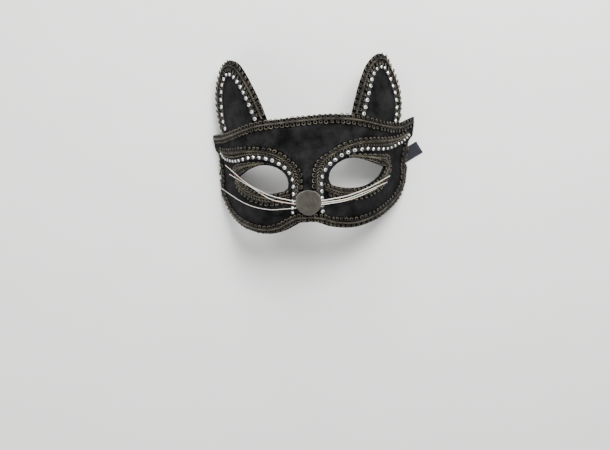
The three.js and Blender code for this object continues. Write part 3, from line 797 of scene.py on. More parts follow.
@dataclass(frozen=True)
class WovenCloth(Finish):
    """A plain woven cloth or tape, in fine yarn.

    It is nearly even in colour, with a faint grid of yarns that softens the light.
    """

    name: str = "woven cotton tape"
    dark: str = "0b0b0c"
    light: str = "161617"
    roughness: float = 0.8
    sheen: float = 0.15
    bump: float = 0.3
    bump_mm: float = 0.06
    # Such yarns lie 0.1 to 0.2 mm apart, too fine to show, so they are drawn two to five times as coarse.
    yarn_mm: float = 0.45
    tone_range: tuple[float, float] = (-1.0, 1.0)

    def pattern(self, tree: Tree) -> tuple[Socket, Socket]:
        """A grid of yarns on the texture places, in millimetres across and along.

        Args:
            tree: The material's node tree.

        Returns:
            The yarns, as the tone and as the height.
        """
        along = add_node(tree, "ShaderNodeUVMap", uv_map="along").outputs[0]
        split = add_node(tree, "ShaderNodeSeparateXYZ", {0: along})
        pace = 2.0 * math.pi / self.yarn_mm
        waves = []
        for k in range(2):
            turn = add_node(tree, "ShaderNodeMath", {0: split.outputs[k], 1: pace}, operation="MULTIPLY")
            waves.append(add_node(tree, "ShaderNodeMath", {0: turn.outputs[0]}, operation="SINE").outputs[0])
        yarn = add_node(tree, "ShaderNodeMath", dict(enumerate(waves)), operation="MULTIPLY").outputs[0]
        return yarn, yarn


@dataclass(frozen=True)
class WoolFelt(Finish):
    """Pressed wool felt: matted fibres in all directions.

    It is quite matte, with short pale and dark fibres that lie in all directions and a faint halo at its
    edge.
    """

    name: str = "pressed wool felt"
    dark: str = "16140f"
    light: str = "3f3b33"
    roughness: float = 0.97
    sheen: float = 0.3
    sheen_roughness: float = 0.6
    specular: float = 0.2
    bump: float = 0.5
    bump_mm: float = 0.25
    # Wool is 0.03 mm thick, which is too fine to show, so the fibres are drawn as flecks of 0.7 mm.
    fibre_mm: float = 0.7
    patch_mm: float = 4.0
    patch_share: float = 0.6
    tone_range: tuple[float, float] = (0.5, 1.1)

    def pattern(self, tree: Tree) -> tuple[Socket, Socket]:
        """Flecks of fibre over soft patches.

        Args:
            tree: The material's node tree.

        Returns:
            The tone, and the height of the fibres.
        """
        place = self.scaled_place(tree)
        fine = {"Vector": place, "Scale": 1.0 / self.fibre_mm, "Detail": 3.0, "Distortion": 1.5}
        fibre = add_node(tree, "ShaderNodeTexNoise", fine).outputs["Fac"]
        soft = {"Vector": place, "Scale": 1.0 / self.patch_mm, "Detail": 2.0}
        patch = add_node(tree, "ShaderNodeTexNoise", soft).outputs["Fac"]
        added = {0: patch, 1: self.patch_share, 2: fibre}
        return add_node(tree, "ShaderNodeMath", added, operation="MULTIPLY_ADD").outputs[0], fibre


@dataclass(frozen=True)
class CloudedFinish(Finish):
    """A finish that is nearly even, with soft clouds between its two shades."""

    patch_mm: float = 10.0
    detail: float = 2.0

    def pattern(self, tree: Tree) -> tuple[Socket, Socket]:
        """Soft clouds.

        Args:
            tree: The material's node tree.

        Returns:
            The clouds, as the tone and as the height.
        """
        soft = {"Vector": self.scaled_place(tree), "Scale": 1.0 / self.patch_mm, "Detail": self.detail}
        patch = add_node(tree, "ShaderNodeTexNoise", soft).outputs["Fac"]
        return patch, patch


@dataclass(frozen=True)
class NylonBristle(CloudedFinish):
    """Drawn nylon bristle, milky and smooth.

    Light gets a little way into it, so it glows evenly along its length, with a narrow gloss on top.
    """

    name: str = "drawn nylon bristle"
    dark: str = "dcd6c8"
    light: str = "f3eee2"
    roughness: float = 0.28
    ior: float = 1.53
    patch_mm: float = 6.0
    glow: float = 0.4
    glow_mm: float = 0.5

    def make(self) -> Material:
        """Makes the nylon, lit from inside by scattering.

        Returns:
            The material.
        """
        material = super().make()
        shader = material.node_tree.nodes["Principled BSDF"]
        shader.inputs["Subsurface Weight"].default_value = self.glow
        shader.inputs["Subsurface Scale"].default_value = self.glow_mm * MM
        return material


@dataclass(frozen=True)
class FloorCard(CloudedFinish):
    """Pale matt card for the floor, nearly even in colour."""

    name: str = "pale matt card"
    dark: str = "f0efed"
    light: str = "f6f5f3"
    roughness: float = 0.9
    patch_mm: float = 60.0


@dataclass(frozen=True)
class Outline:
    """The edges of the mask in the front view, which the shell is cut to and the trims follow."""

    wing_tip_level: BySide[float] = BySide(46.3, 49.2)
    side_end_level: float = -1.0
    floor_trim: float = 1.2
    arch_rise: float = 3.0
    arch_top: float = 31.5
    arch_bottom: float = 14.0
    arch_ramp: float = 3.4
    # An ear's own edge starts this far over the top edge.
    ear_start: float = 0.3
    # The top edge stops this share of a step short of the ear.
    ear_joint: float = 0.4
    top: BySide[Places] = BySide(
        left=(
            (0, 61.9), (8, 61.6), (15, 61.2), (22, 60.7), (29, 60.2), (37, 59), (44, 56.9), (50, 54.7),
            (59, 50.8), (68, 47.7), (76.4, 46.4),
        ),
        right=(
            (0, 61.9), (8, 62.1), (16, 62.1), (28, 61.1), (40, 58.7), (50, 54.9), (59, 50.7), (66, 47.9),
            (71, 47.2), (75, 48.1), (81, 49.4),
        ),
    )
    lower: BySide[Places] = BySide(
        left=(
            (0, -15.7), (4, -15.8), (8, -16), (13, -18.7), (21, -23.3), (31, -25.8), (41, -25.4), (49, -23.8),
            (57, -21.1), (62.2, -17.6), (66.6, -13), (70, -7.2),
        ),
        right=(
            (0, -15.7), (4, -16.2), (8, -17.8), (13, -20.9), (21, -24.1), (31, -25.2), (41, -23.8),
            (49, -21.6), (56, -18.5), (61.2, -15), (65, -11.2), (67.6, -6.6),
        ),
    )
    eye_upper: BySide[Places] = BySide(
        left=((15.3, 12.4), (16.2, 17.6), (20, 22.6), (26, 25.9), (34, 27), (44, 24.2), (54.9, 17.3)),
        right=((15.5, 14), (16.6, 18.8), (20.2, 23), (26, 26.6), (34, 27.8), (44, 24.3), (56.3, 16.6)),
    )
    eye_lower: BySide[Places] = BySide(
        left=((54.9, 17.3), (49, 12.4), (40, 7.9), (30, 5.7), (20.5, 7), (16.4, 9.2), (15.3, 12.4)),
        right=((56.3, 16.6), (51.6, 10.1), (42, 5.8), (30, 5.8), (21, 7.9), (16.8, 10.4), (15.5, 14)),
    )
    ears: BySide[Places] = BySide(
        left=(
            (26.4, 58), (31.8, 74.1), (37.1, 85.7), (42.6, 96.3), (48.5, 103.6), (54.3, 105.3), (60.5, 102.1),
            (66.8, 89.6), (69.4, 75), (68.4, 60.9), (64.6, 44),
        ),
        right=(
            (34.6, 57), (39.6, 73), (44.3, 85.5), (49.1, 95), (54.3, 100.2), (58.6, 101.8), (62.2, 99.9),
            (66.1, 91.1), (69.9, 78.5), (71.1, 64.1), (70, 53.1), (68, 44),
        ),
    )

    def side_rise(self, y: Array) -> Array:
        """How far the side edge is cut above the floor, or under it where it is to be cut flat.

        Args:
            y: Levels along the side.

        Returns:
            The height over the floor at each level.
        """
        arch = smooth(self.arch_bottom - self.arch_ramp, self.arch_bottom, y)
        arch = arch * (1.0 - smooth(self.arch_top, self.arch_top + self.arch_ramp, y))
        return mix(-self.floor_trim, self.arch_rise, arch)

    def side_line(self, side: Side, step: float, lowest: float = -math.inf) -> Array:
        """The side of the mask from the wing tip down to the cheek, still on its right.

        Args:
            side: Which side of the mask.
            step: How far apart the places are.
            lowest: The least height over the floor that the line keeps.

        Returns:
            The places, one row each.
        """
        start = self.wing_tip_level[side]
        count = round((start - self.side_end_level) / step)
        y = np.linspace(start, self.side_end_level, count + 1)
        return np.column_stack([FACE.side_at(side, y, np.maximum(self.side_rise(y), lowest)), y])

    def top_at(self, side: Side, x: Array) -> Array:
        """The level of the top edge at a distance from the middle."""
        line = front_line(self.top[side])
        return np.interp(x, line[:, 0], line[:, 1])

    def half(self, side: Side, step: float) -> Array:
        """Half of the outline, from the middle of the forehead round to the middle of the lower edge.

        Args:
            side: Which half.
            step: How far apart the places are.

        Returns:
            The places, one row each.
        """
        ear = front_line(self.ears[side], step)
        above = ear[ear[:, 1] > self.top_at(side, ear[:, 0]) + self.ear_start]
        top = front_line(self.top[side], step)
        inner = top[top[:, 0] < above[0, 0] - self.ear_joint * step]
        outer = top[top[:, 0] > above[-1, 0] + self.ear_joint * step]
        lower = front_line(self.lower[side], step)[::-1]
        return on_side(np.vstack([inner, above, outer[:-1], self.side_line(side, step), lower]), side)

    def whole(self, step: float) -> Array:
        """The whole outline, once round."""
        right, left = self.half(Side.RIGHT, step), self.half(Side.LEFT, step)
        return np.vstack([right, left[::-1][1:-1]])

    def eye(self, side: Side, step: float) -> Array:
        """An eye hole, once round."""
        upper, lower = front_line(self.eye_upper[side], step), front_line(self.eye_lower[side], step)
        return on_side(np.vstack([upper[:-1], lower[:-1]]), side)

    def ear_edge(self, side: Side) -> Array:
        """The part of an ear's outline that stands clear of the top braid."""
        line = front_line(self.ears[side])
        return on_side(line[line[:, 1] > self.top_at(side, line[:, 0])], side)


OUTLINE = Outline()


def inside(places: Array, polygon: Array) -> Array:
    """Finds the places inside a closed polygon.

    Args:
        places: Places in the front view, one row each.
        polygon: The polygon's corners.

    Returns:
        Whether each place lies inside.
    """
    x, y = places[:, 0], places[:, 1]
    found = np.zeros(len(places), bool)
    for (x0, y0), (x1, y1) in zip(polygon, np.roll(polygon, -1, axis=0)):
        if y0 != y1:
            found ^= ((y0 > y) != (y1 > y)) & (x < (x1 - x0) * (y - y0) / (y1 - y0) + x0)
    return found


def distance_to(places: Array, polygons: Iterable[Array]) -> Array:
    """Measures to the nearest side of some closed polygons.

    Args:
        places: Places in the front view, one row each.
        polygons: The corners of each polygon.

    Returns:
        The distance of each place.
    """
    nearest = np.full(len(places), np.inf)
    for polygon in polygons:
        for start, end in zip(polygon, np.roll(polygon, -1, axis=0)):
            way = end - start
            share = np.clip(((places - start) @ way) / max(way @ way, 1e-12), 0.0, 1.0)
            nearest = np.minimum(nearest, np.linalg.norm(places - start - share[:, None] * way, axis=1))
    return nearest


def on_velvet(places: Array, edges: Sequence[Array]) -> Array:
    """Whether each place lies inside the outline, which comes first, and outside the eye holes."""
    return inside(places, edges[0]) & ~np.any([inside(places, hole) for hole in edges[1:]], axis=0)


@dataclass
class VelvetShell:
    """The moulded shell in its velvet, with a rolled edge and a lining inside."""

    finish: Material
    wall: float = 1.6
    edge_step: float = 1.1
    net_step: float = 1.45
    edge_inset: float = 0.4
    unevenness: float = 0.11
    unevenness_mm: float = 13.0
    unevenness_level: float = 0.7
    turn_in: float = 4.5
    turn_in_blend: float = 1.0
    # How far each row of the rolled rim stands out past the edge, and how far under the velvet.
    rim: tuple[tuple[float, float], ...] = ((0.28, 0.2), (0.4, 0.8), (0.28, 1.4))
    # The net keeps this share of its step clear of the edges, so that no triangle there is thin.
    edge_clear: float = 0.6

    def net(self) -> tuple[Array, Array, list[Array]]:
        """A net of triangles over the front view, cut to the outline and the eye holes.

        Returns:
            The places, the triangles, and the closed edges.
        """
        edges = [self.pulled_in(OUTLINE.whole(self.edge_step), 1.0)]
        edges += [self.pulled_in(OUTLINE.eye(side, self.edge_step), -1.0) for side in Side]
        low, high = edges[0].min(axis=0), edges[0].max(axis=0)
        rows = np.arange(low[1], high[1], self.net_step * math.sqrt(0.75))
        grid = []
        for k, y in enumerate(rows):
            x = np.arange(low[0], high[0], self.net_step) + (k % 2) * self.net_step / 2.0
            grid.append(np.column_stack([x, np.full_like(x, y)]))
        grid = np.vstack(grid)
        clear = on_velvet(grid, edges) & (distance_to(grid, edges) > self.edge_clear * self.net_step)
        places = np.vstack([*edges, grid[clear]])
        links = []
        first = 0
        for edge in edges:
            order = np.arange(first, first + len(edge))
            links += np.column_stack([order, np.roll(order, -1)]).tolist()
            first += len(edge)
        found = delaunay_2d_cdt([Vector(p) for p in places], links, [], 0, 1e-6)
        places = np.array([tuple(p) for p in found[0]])
        triangles = np.array([f for f in found[2] if len(f) == 3], int)
        kept = on_velvet(places[triangles].mean(axis=1), edges)
        return places, self.turned_up(places, triangles[kept]), edges

    def pulled_in(self, edge: Array, towards: float) -> Array:
        """An edge drawn back from its cut line, so that its rolled rim ends there.

        Args:
            edge: The closed cut line.
            towards: 1 to go into the line, -1 to go out of it.

        Returns:
            The drawn-back line.
        """
        after, before = np.roll(edge, -1, axis=0), np.roll(edge, 1, axis=0)
        along = after - before
        area = np.sum(edge[:, 0] * after[:, 1] - after[:, 0] * edge[:, 1])
        left = unit(np.column_stack([-along[:, 1], along[:, 0]])) * math.copysign(1.0, area)
        return edge + left * towards * self.edge_inset

    @staticmethod
    def turned_up(places: Array, triangles: Array) -> Array:
        """The triangles with their corners in order seen from the front.

        Args:
            places: The places that they join.
            triangles: The triangles, as numbers of the places.

        Returns:
            The triangles, with the wrong ones turned over.
        """
        a, b, c = (places[triangles[:, k]] for k in range(3))
        ab, ac = b - a, c - a
        wrong = ab[:, 0] * ac[:, 1] - ab[:, 1] * ac[:, 0] < 0.0
        triangles[wrong] = triangles[wrong][:, ::-1]
        return triangles

    def uneven(self, places: Array) -> Array:
        """The slight unevenness of the velvet over its core.

        Args:
            places: Places in the front view.

        Returns:
            How far each place stands up.
        """
        scale = 1.0 / self.unevenness_mm
        values = [noise.noise(Vector((x * scale, y * scale, self.unevenness_level))) for x, y in places]
        return self.unevenness * np.array(values)

    def build(self, covered: Sequence[tuple[Array, Array]]) -> None:
        """Builds the shell as one closed piece.

        Args:
            covered: The lines along both edges of each braid that is glued to it, where the velvet is painted
                black as painted shade.
        """
        places, triangles, edges = self.net()
        front = FACE.point(places, self.uneven(places))
        back = FACE.point(places, -self.wall)
        sides = np.vstack([triangles[:, [0, 1]], triangles[:, [1, 2]], triangles[:, [2, 0]]])
        keys = {tuple(s) for s in sides.tolist()}
        rim = np.array([s for s in sides.tolist() if (s[1], s[0]) not in keys], int)
        follows = dict(rim.tolist())
        leads = {b: a for a, b in rim.tolist()}
        order = np.array(sorted(follows))
        along = places[[follows[i] for i in order]] - places[[leads[i] for i in order]]
        outwards = unit(np.column_stack([along[:, 1], -along[:, 0]]))
        rows = [FACE.point(places[order] + outwards * reach, -depth) for reach, depth in self.rim]
        count = len(places)
        points = np.vstack([front, back, *rows])
        points[:, 2] = np.maximum(points[:, 2], 0.0)
        where = {int(i): k for k, i in enumerate(order)}

        def down(i: int) -> list[int]:
            """The points down the rim at one place of the edge, from front to back."""
            return [i, *(2 * count + r * len(order) + where[i] for r in range(len(rows))), i + count]

        bands = []
        for a, b in rim.tolist():
            near, far = down(a), down(b)
            for r in range(len(near) - 1):
                bands.append([far[r], near[r], near[r + 1], far[r + 1]])
        parts = MeshParts()
        parts.add(points, triangles)
        parts.add_faces(triangles[:, ::-1] + count)
        parts.add_faces(np.array(bands))
        piece = parts.build("velvet_shell", [self.finish])
        nearest = distance_to(places, edges)
        lining, glued = np.zeros((2, len(points)))
        blend = self.turn_in_blend
        lining[count : 2 * count] = smooth(self.turn_in - blend, self.turn_in + blend, nearest)
        # The velvet under each braid is marked to be painted near black, as painted shade.
        for outer, inner in covered:
            glued[:count] = np.maximum(glued[:count], inside(places, np.vstack([outer, inner[::-1]])))
        mark(piece, "lining", lining)
        mark(piece, "glued", glued)
        ride(piece, "mask_shell")


@dataclass(frozen=True)
class Band:
    """The strip of velvet that a braid covers, between two lines."""

    outer: Array
    inner: Array
    length: float
    width: Array

    @classmethod
    def between(cls, outer: Array, inner: Array, count: int = 400) -> "Band":
        """Makes the strip between two lines, each spaced evenly over the velvet.

        Args:
            outer: The line along the outer edge.
            inner: The line along the inner edge.
            count: How many steps each line gets.

        Returns:
            The strip.
        """
        outer, outer_length = respaced(outer, count)
        inner, inner_length = respaced(inner, count)
        width = np.linalg.norm(FACE.point(outer) - FACE.point(inner), axis=1)
        return cls(outer, inner, (outer_length + inner_length) / 2.0, width)

    def width_at(self, s: Array) -> Array:
        """How wide the strip is at a distance along it."""
        return np.interp(s, np.linspace(0.0, self.length, len(self.width)), self.width)

    def place(self, s: Array, across: Array) -> Array:
        """Places on the strip.

        Args:
            s: How far along the strip each place is.
            across: How far across it, from -1 outside to 1 inside.

        Returns:
            The places in the front view.
        """
        travelled = np.linspace(0.0, self.length, len(self.outer))
        t = (across[:, None] + 1.0) / 2.0
        return mix(at_distance(self.outer, travelled, s), at_distance(self.inner, travelled, s), t)


@dataclass
class GimpBraid:
    """Looped gimp braid: a cord curled in rings along each edge, and two ropes of opposite twist between."""

    finish: Material
    ring_pitch: float = 4.1
    ring_throw: float = 2.25
    ring_depth: float = 2.95
    ring_cord: float = 0.36
    ring_height: float = 1.05
    ring_crossing: float = 0.32
    # The rings' painted light and shade: the height they are taken from, and how much lower it reads on the
    # side next to the ropes, as painted shade.
    ring_shown: float = 1.5
    ring_sink: float = 0.32
    ring_points: int = 22
    # How far the rings differ: the lean along the edge in mm, the size as a share, and the height in mm.
    ring_ranges: tuple[tuple[float, float], ...] = ((-0.4, 0.4), (0.84, 1.05), (-0.1, 0.2))
    rope_pitch: float = 5.2
    rope_strands: int = 2
    rope_gap: float = 0.4
    single_below: float = 2.8
    single_pitch: float = 3.6
    least_spread: float = 0.44
    rope_rise: float = 0.55
    rope_cord: float = 0.25
    rope_height: float = 1.4
    cord_step: float = 0.42
    narrow: float = 5.0
    least_slim: float = 0.6
    sides: int = 6
    seed: int = 7

    def add_cord(
        self, parts: MeshParts, band: Band, s: Array, a: Array, h: Array, painted_shade_height: Array, cord: float
    ) -> None:
        """Adds one cord to the braid.

        Args:
            parts: The piece's mesh, with the height that each point's painted light and shade are taken from.
            band: The strip that the braid covers.
            s: How far along the strip each point of the cord is.
            a: How far in from the strip's outer line.
            h: How high over the velvet.
            painted_shade_height: The height that its painted light and shade are taken from.
            cord: The cord's radius.
        """
        keep = (s >= 0.0) & (s <= band.length)
        s, a, h, painted_shade_height = s[keep], a[keep], h[keep], painted_shade_height[keep]
        width = band.width_at(s)
        places = band.place(s, np.clip(2.0 * a / width - 1.0, -1.0, 1.0))
        slim = np.clip(width / self.narrow, self.least_slim, 1.0)
        parts.add_tube(FACE.point(places, h * slim), FACE.normal(places), cord * slim, self.sides)
        rise = np.sin(np.arange(self.sides) * (2.0 * math.pi / self.sides))
        # Each section reads higher at its top, so the painted highlight runs along the top of the cord and
        # painted shade lies below.
        parts.lifts.append((painted_shade_height[:, None] + cord * rise).ravel())

    def looped_edge(self, width: Array, edge: int, size: Array | float = 1.0) -> tuple[Array, Array]:
        """How far in from the strip's outer line the rings along an edge start and end.

        Args:
            width: The strip's width.
            edge: -1 for the outer edge, 1 for the inner edge.
            size: Each ring's size against the full one.

        Returns:
            The side next to the ropes, and the side at the edge.
        """
        depth = np.minimum(self.ring_depth, width / 2.0)
        far = np.where(edge < 0, self.ring_cord, width - self.ring_cord)
        near = far - edge * depth
        return near, mix(near, far, size)

    def rings(self, parts: MeshParts, band: Band, edge: int, random: np.random.Generator) -> None:
        """Adds the curled cord along one edge.

        Args:
            parts: The piece's mesh.
            band: The strip that the braid covers.
            edge: -1 for the outer edge, 1 for the inner edge.
            random: Where the small differences between rings come from.
        """
        count = max(2, round(band.length / self.ring_pitch))
        pitch = band.length / count
        t = np.linspace(0.0, 2.0 * math.pi * count, self.ring_points * count + 1)
        turns = t / (2.0 * math.pi)
        knots = np.arange(count + 2)
        lean, size, rise = (
            np.interp(turns, knots, random.uniform(low, high, count + 2)) for low, high in self.ring_ranges
        )
        s = pitch * turns - self.ring_throw * size * np.sin(t) + lean
        near, far = self.looped_edge(band.width_at(np.clip(s, 0.0, band.length)), edge, size)
        a = (near + far) / 2.0 + (far - near) / 2.0 * np.cos(t)
        h = self.ring_height + rise + self.ring_crossing * np.sin(t)
        # The ring is painted darker on its side next to the ropes, as painted shade.
        painted_shade_height = self.ring_shown - self.ring_sink * (1.0 - np.cos(t)) / 2.0
        self.add_cord(parts, band, s, a, h, painted_shade_height, self.ring_cord)

    def ropes(self, parts: MeshParts, band: Band, looped: tuple[int, ...]) -> None:
        """Adds two ropes of opposite twist side by side, or one rope where there is room for one only.

        Args:
            parts: The piece's mesh.
            band: The strip that the braid covers.
            looped: The edges that have rings, -1 for the outer one and 1 for the inner one.
        """
        count = max(3, round(band.length / self.cord_step))
        s = np.linspace(0.0, band.length, count + 1)
        width = band.width_at(s)
        low = self.looped_edge(width, -1)[0] if -1 in looped else np.full(len(s), self.rope_cord)
        high = self.looped_edge(width, 1)[0] if 1 in looped else width - self.rope_cord
        middle = (low + high) / 2.0
        single = float(np.median(high - low)) < self.single_below
        offset = np.zeros(len(s)) if single else (high - low) / 4.0
        spread = np.maximum(offset - self.rope_cord - self.rope_gap / 2.0, self.least_spread)
        for edge in OUTER_EDGE if single else BOTH_EDGES:
            for k in range(self.rope_strands):
                turns = s / (self.single_pitch if single else self.rope_pitch) + k / self.rope_strands
                angle = edge * 2.0 * math.pi * turns
                h = self.rope_height + self.rope_rise * np.sin(angle)
                a = middle + edge * offset + spread * np.cos(angle)
                # The lower strands are painted darker by their height, as painted shade, and the upper ones
                # lighter, as a painted highlight.
                self.add_cord(parts, band, s, a, h, h, self.rope_cord)

    def build(self, name: str, lines: tuple[Array, Array], node: str, looped: tuple[int, ...]) -> None:
        """Builds the braid between two lines.

        Args:
            name: The piece's name.
            lines: The lines along its outer and its inner edge.
            node: The node that it stands for.
            looped: The edges that have rings, -1 for the outer one and 1 for the inner one.
        """
        parts = MeshParts()
        band = Band.between(*lines)
        random = np.random.default_rng(self.seed + sum(ord(letter) for letter in name))
        for edge in looped:
            self.rings(parts, band, edge, random)
        self.ropes(parts, band, looped)
        piece = parts.build(name, [self.finish])
        # The cords' painted light and shade follow this value.
        mark(piece, "lift", np.concatenate(parts.lifts))
        ride(piece, node)


@dataclass(frozen=True)
class StoneLines:
    """Where the stones of each row were glued, from the nose out to the temple and round inside each ear."""

    half: float = 1.62
    end: float = 1.05
    brow: BySide[Places] = BySide(
        left=(
            (12.2, -8.1), (12, -4.5), (11.3, 0.2), (10.5, 5.7), (10.2, 10.7), (10.6, 16), (13, 21),
            (16.6, 25), (20.8, 28.2), (25.5, 30.7), (30.2, 32.6), (35.2, 33.5), (39.9, 33.6), (44, 32.9),
            (48.3, 31.7), (51.7, 30.8), (54.5, 29.9), (57.3, 29.3), (59.8, 29.1), (62.3, 29.3), (64.6, 29.6),
            (66, 30.3), (67.3, 31.6), (68.4, 33.3),
        ),
        right=(
            (9, -8.1), (9, -3.5), (9.3, 1.6), (9.4, 6.4), (9.4, 11.3), (10.1, 16.4), (12.8, 21.4), (17, 25.5),
            (21.2, 28.5), (26, 31.1), (30.9, 32.9), (35.8, 33.6), (40.7, 33.8), (45, 33.4), (48.7, 32.7),
            (52.2, 31.9), (55.6, 31.1), (58.5, 30.7), (61.2, 30.6), (64, 31), (66.6, 31.6), (68.8, 32.4),
            (70.9, 33.4), (72.9, 34.6), (74.6, 36.1),
        ),
    )
    ear: BySide[Places] = BySide(
        left=(
            (36.3, 62), (38.2, 67), (40, 72.3), (41.8, 77.3), (43.8, 81.7), (45.9, 85.7), (48.3, 89.5),
            (50.9, 92.8), (53.8, 94.9), (57, 94.2), (59.7, 91), (61.6, 86.2), (62.9, 80.9), (63.6, 75.3),
            (63.8, 69.6), (63.7, 64.1), (63, 58.7), (61.7, 53.5),
        ),
        right=(
            (44.1, 59.5), (45.6, 64.1), (47.2, 69.1), (48.8, 74.1), (50.1, 79), (51.4, 83.6), (53.2, 87.8),
            (55.6, 90.7), (58.4, 91.7), (60.9, 90.2), (62.8, 86.4), (64.4, 81.4), (65.8, 76), (67, 70.5),
            (67.5, 65.1), (67.4, 59.7), (66.8, 54.5), (65.8, 50),
        ),
    )

    def places(self, rows: BySide[Places], side: Side) -> Array:
        """The places of a row's stones on its side of the mask."""
        return np.array(rows[side], float) * np.array([side.value, 1.0])

    def line(self, rows: BySide[Places], side: Side) -> Array:
        """The middle of a row's tape, which runs a little past the stones at both ends.

        Args:
            rows: The places of the stones, one row on each side.
            side: Which side the row is on.

        Returns:
            The line's places.
        """
        places = self.places(rows, side)
        first = places[0] + unit(places[0] - places[1]) * self.end
        last = places[-1] + unit(places[-1] - places[-2]) * self.end
        return front_line(np.vstack([first, places, last]))


STONES = StoneLines()


@dataclass(frozen=True)
class CrossingWidth:
    """The width of a braid that crosses the middle of the mask, which was pulled wider on one side."""

    left: float
    middle: float
    right: float
    change_start: float = 10.0
    change_end: float = 24.0

    def at(self, x: Array) -> Array:
        """The width at each place across the mask."""
        share = smooth(self.change_start, self.change_end, np.abs(x))
        return mix(self.middle, np.where(x < 0.0, self.left, self.right), share)


@dataclass
class BraidLines:
    """Where each braid lies on the face, beside the rows of stones and along the edges."""

    top_width: CrossingWidth = CrossingWidth(6.9, 7.2, 7.6)
    lower_width: CrossingWidth = CrossingWidth(7.5, 6.6, 8.7)
    eye_width: float = 9.2
    overhang: float = 0.4
    curl_overhang: float = 0.5
    lower_hem: float = 0.8
    stone_gap: float = 0.2
    butt_gap: float = 0.9
    floor_gap: float = 0.6
    top_tip: BySide[tuple[float, float]] = BySide((74.6, 46.8), (78.8, 48.9))
    lower_top: BySide[float] = BySide(28.4, 29.6)
    brow_outer: BySide[Places] = BySide(
        left=(
            (3.8, -6), (4.2, 0), (3.8, 7), (2.9, 12.5), (2.5, 16.6), (2.9, 20.3), (4.6, 24.2), (7.4, 27.4),
            (10.9, 30.5), (14.7, 34.1), (18.3, 36.7), (22.7, 38.8), (26.3, 40.1), (30, 41), (34.4, 41.7),
            (39, 41.9), (44.6, 41.8), (49.6, 41.3), (56.8, 39.9), (63.9, 38.4), (71, 38.6),
        ),
        right=(
            (3.6, -6), (3.6, 0), (3.3, 8), (3.2, 13.3), (3.4, 16.9), (3.8, 20.8), (4.8, 24.6), (6.8, 27.8),
            (9.8, 30.6), (13.8, 33.1), (17.8, 35.2), (21.7, 37.3), (25.5, 39.2), (29.2, 40.6), (32.8, 41.4),
            (36.4, 42), (40, 42.2), (47, 41.8), (54, 40.7), (59.5, 39.3), (64.5, 38.7), (69.4, 39.2),
            (72.4, 40.2),
        ),
    )
    brow_foot: float = -6.0
    brow_end: BySide[float] = BySide(71.5, 74.6)
    eye_lead: BySide[Places] = BySide(((12.4, 8.6), (16.4, 8)), ((11.5, 12.4), (15.2, 10.4)))
    eye_clear: BySide[float] = BySide(13.3, 11.6)
    eye_end: BySide[float] = BySide(31.5, 30.5)
    eye_taper_start: float = 0.62
    eye_end_width: float = 3.2
    eye_hem: float = 0.35
    top_step: float = 2.0
    line_step: float = 1.5
    lower_count: int = 80
    eye_count: int = 120

    def top(self) -> tuple[Array, Array]:
        """Along the top edge, across the feet of the ears, from wing tip to wing tip.

        Returns:
            The lines along its outer and its inner edge.
        """
        lines = [front_line((*OUTLINE.top[s][:-1], self.top_tip[s]), self.top_step) for s in Side]
        halves = [on_side(line, side) for line, side in zip(lines, Side)]
        edge = np.vstack([halves[0][::-1], halves[1][1:]])
        inner = inset_line(edge, self.overhang - self.top_width.at(edge[:, 0]))
        return inset_line(edge, self.overhang + self.curl_overhang), inner

    def lower(self) -> tuple[Array, Array]:
        """Along the lower edge and up both sides to just under the brow stones.

        Returns:
            The lines along its outer and its inner edge.
        """
        halves = []
        for side in Side:
            up = OUTLINE.side_line(side, self.line_step, self.floor_gap)
            up = up[up[:, 1] < self.lower_top[side]][::-1]
            line = np.vstack([front_line(OUTLINE.lower[side], self.line_step), up[1:]])
            halves.append(respaced(on_side(line, side), self.lower_count)[0])
        edge = np.vstack([halves[0][::-1], halves[1][1:]])
        inner = inset_line(edge, self.lower_hem + self.lower_width.at(edge[:, 0]))
        return inset_line(edge, self.lower_hem), inner

    def beside_stones(self, line: Array, side: Side) -> Array:
        """The line along the outside of a row of stones."""
        return inset_line(line, side.value * (STONES.half + self.stone_gap))

    def brow(self, side: Side) -> tuple[Array, Array]:
        """Up beside the nose from under the pad, over the eye and out under the top braid.

        Args:
            side: Which side of the mask.

        Returns:
            The lines along its outer and its inner edge.
        """
        inner = self.beside_stones(STONES.line(STONES.brow, side), side)
        across = np.abs(inner[:, 0])
        inner = inner[(inner[:, 1] > self.brow_foot) & (across < self.brow_end[side])]
        return on_side(front_line(self.brow_outer[side], self.line_step), side), inner

    def eye(self, side: Side) -> tuple[Array, Array]:
        """Along the lower lid from the stones, round the outer corner and back over the upper lid.

        Args:
            side: Which side of the mask.

        Returns:
            The lines along its outer and its inner edge.
        """
        lower = (*self.eye_lead[side], *OUTLINE.eye_lower[side][-3::-1])
        upper = front_line(OUTLINE.eye_upper[side])[::-1]
        upper = upper[upper[:, 0] > self.eye_end[side]]
        line, _ = respaced(on_side(np.vstack([front_line(lower), upper[1:]]), side), self.eye_count)
        t = np.linspace(0.0, 1.0, len(line))
        taper = mix(1.0, self.eye_end_width / self.eye_width, smooth(self.eye_taper_start, 1.0, t))
        outer = inset_line(line, -side.value * (self.eye_hem + self.eye_width * taper))
        outer = outer[np.abs(outer[:, 0]) > self.eye_clear[side]]
        return outer, inset_line(line, -side.value * self.eye_hem)

    def ear(self, side: Side) -> tuple[Array, Array]:
        """Between an ear's edge and its stones, down to the top braid at both ends.

        Args:
            side: Which side of the mask.

        Returns:
            The lines along its outer and its inner edge.
        """
        outer = inset_line(OUTLINE.ear_edge(side), side.value * self.overhang)
        inner = self.beside_stones(STONES.line(STONES.ear, side), side)
        ends = [OUTLINE.top_at(side, np.abs(line[:, 0])) + self.butt_gap for line in (outer, inner)]
        return outer[outer[:, 1] > ends[0]], inner[inner[:, 1] > ends[1]]

    def every(self) -> list[tuple[Array, Array]]:
        """The lines of all the braids."""
        ways = (self.brow, self.eye, self.ear)
        return [self.top(), self.lower(), *(way(side) for side in Side for way in ways)]


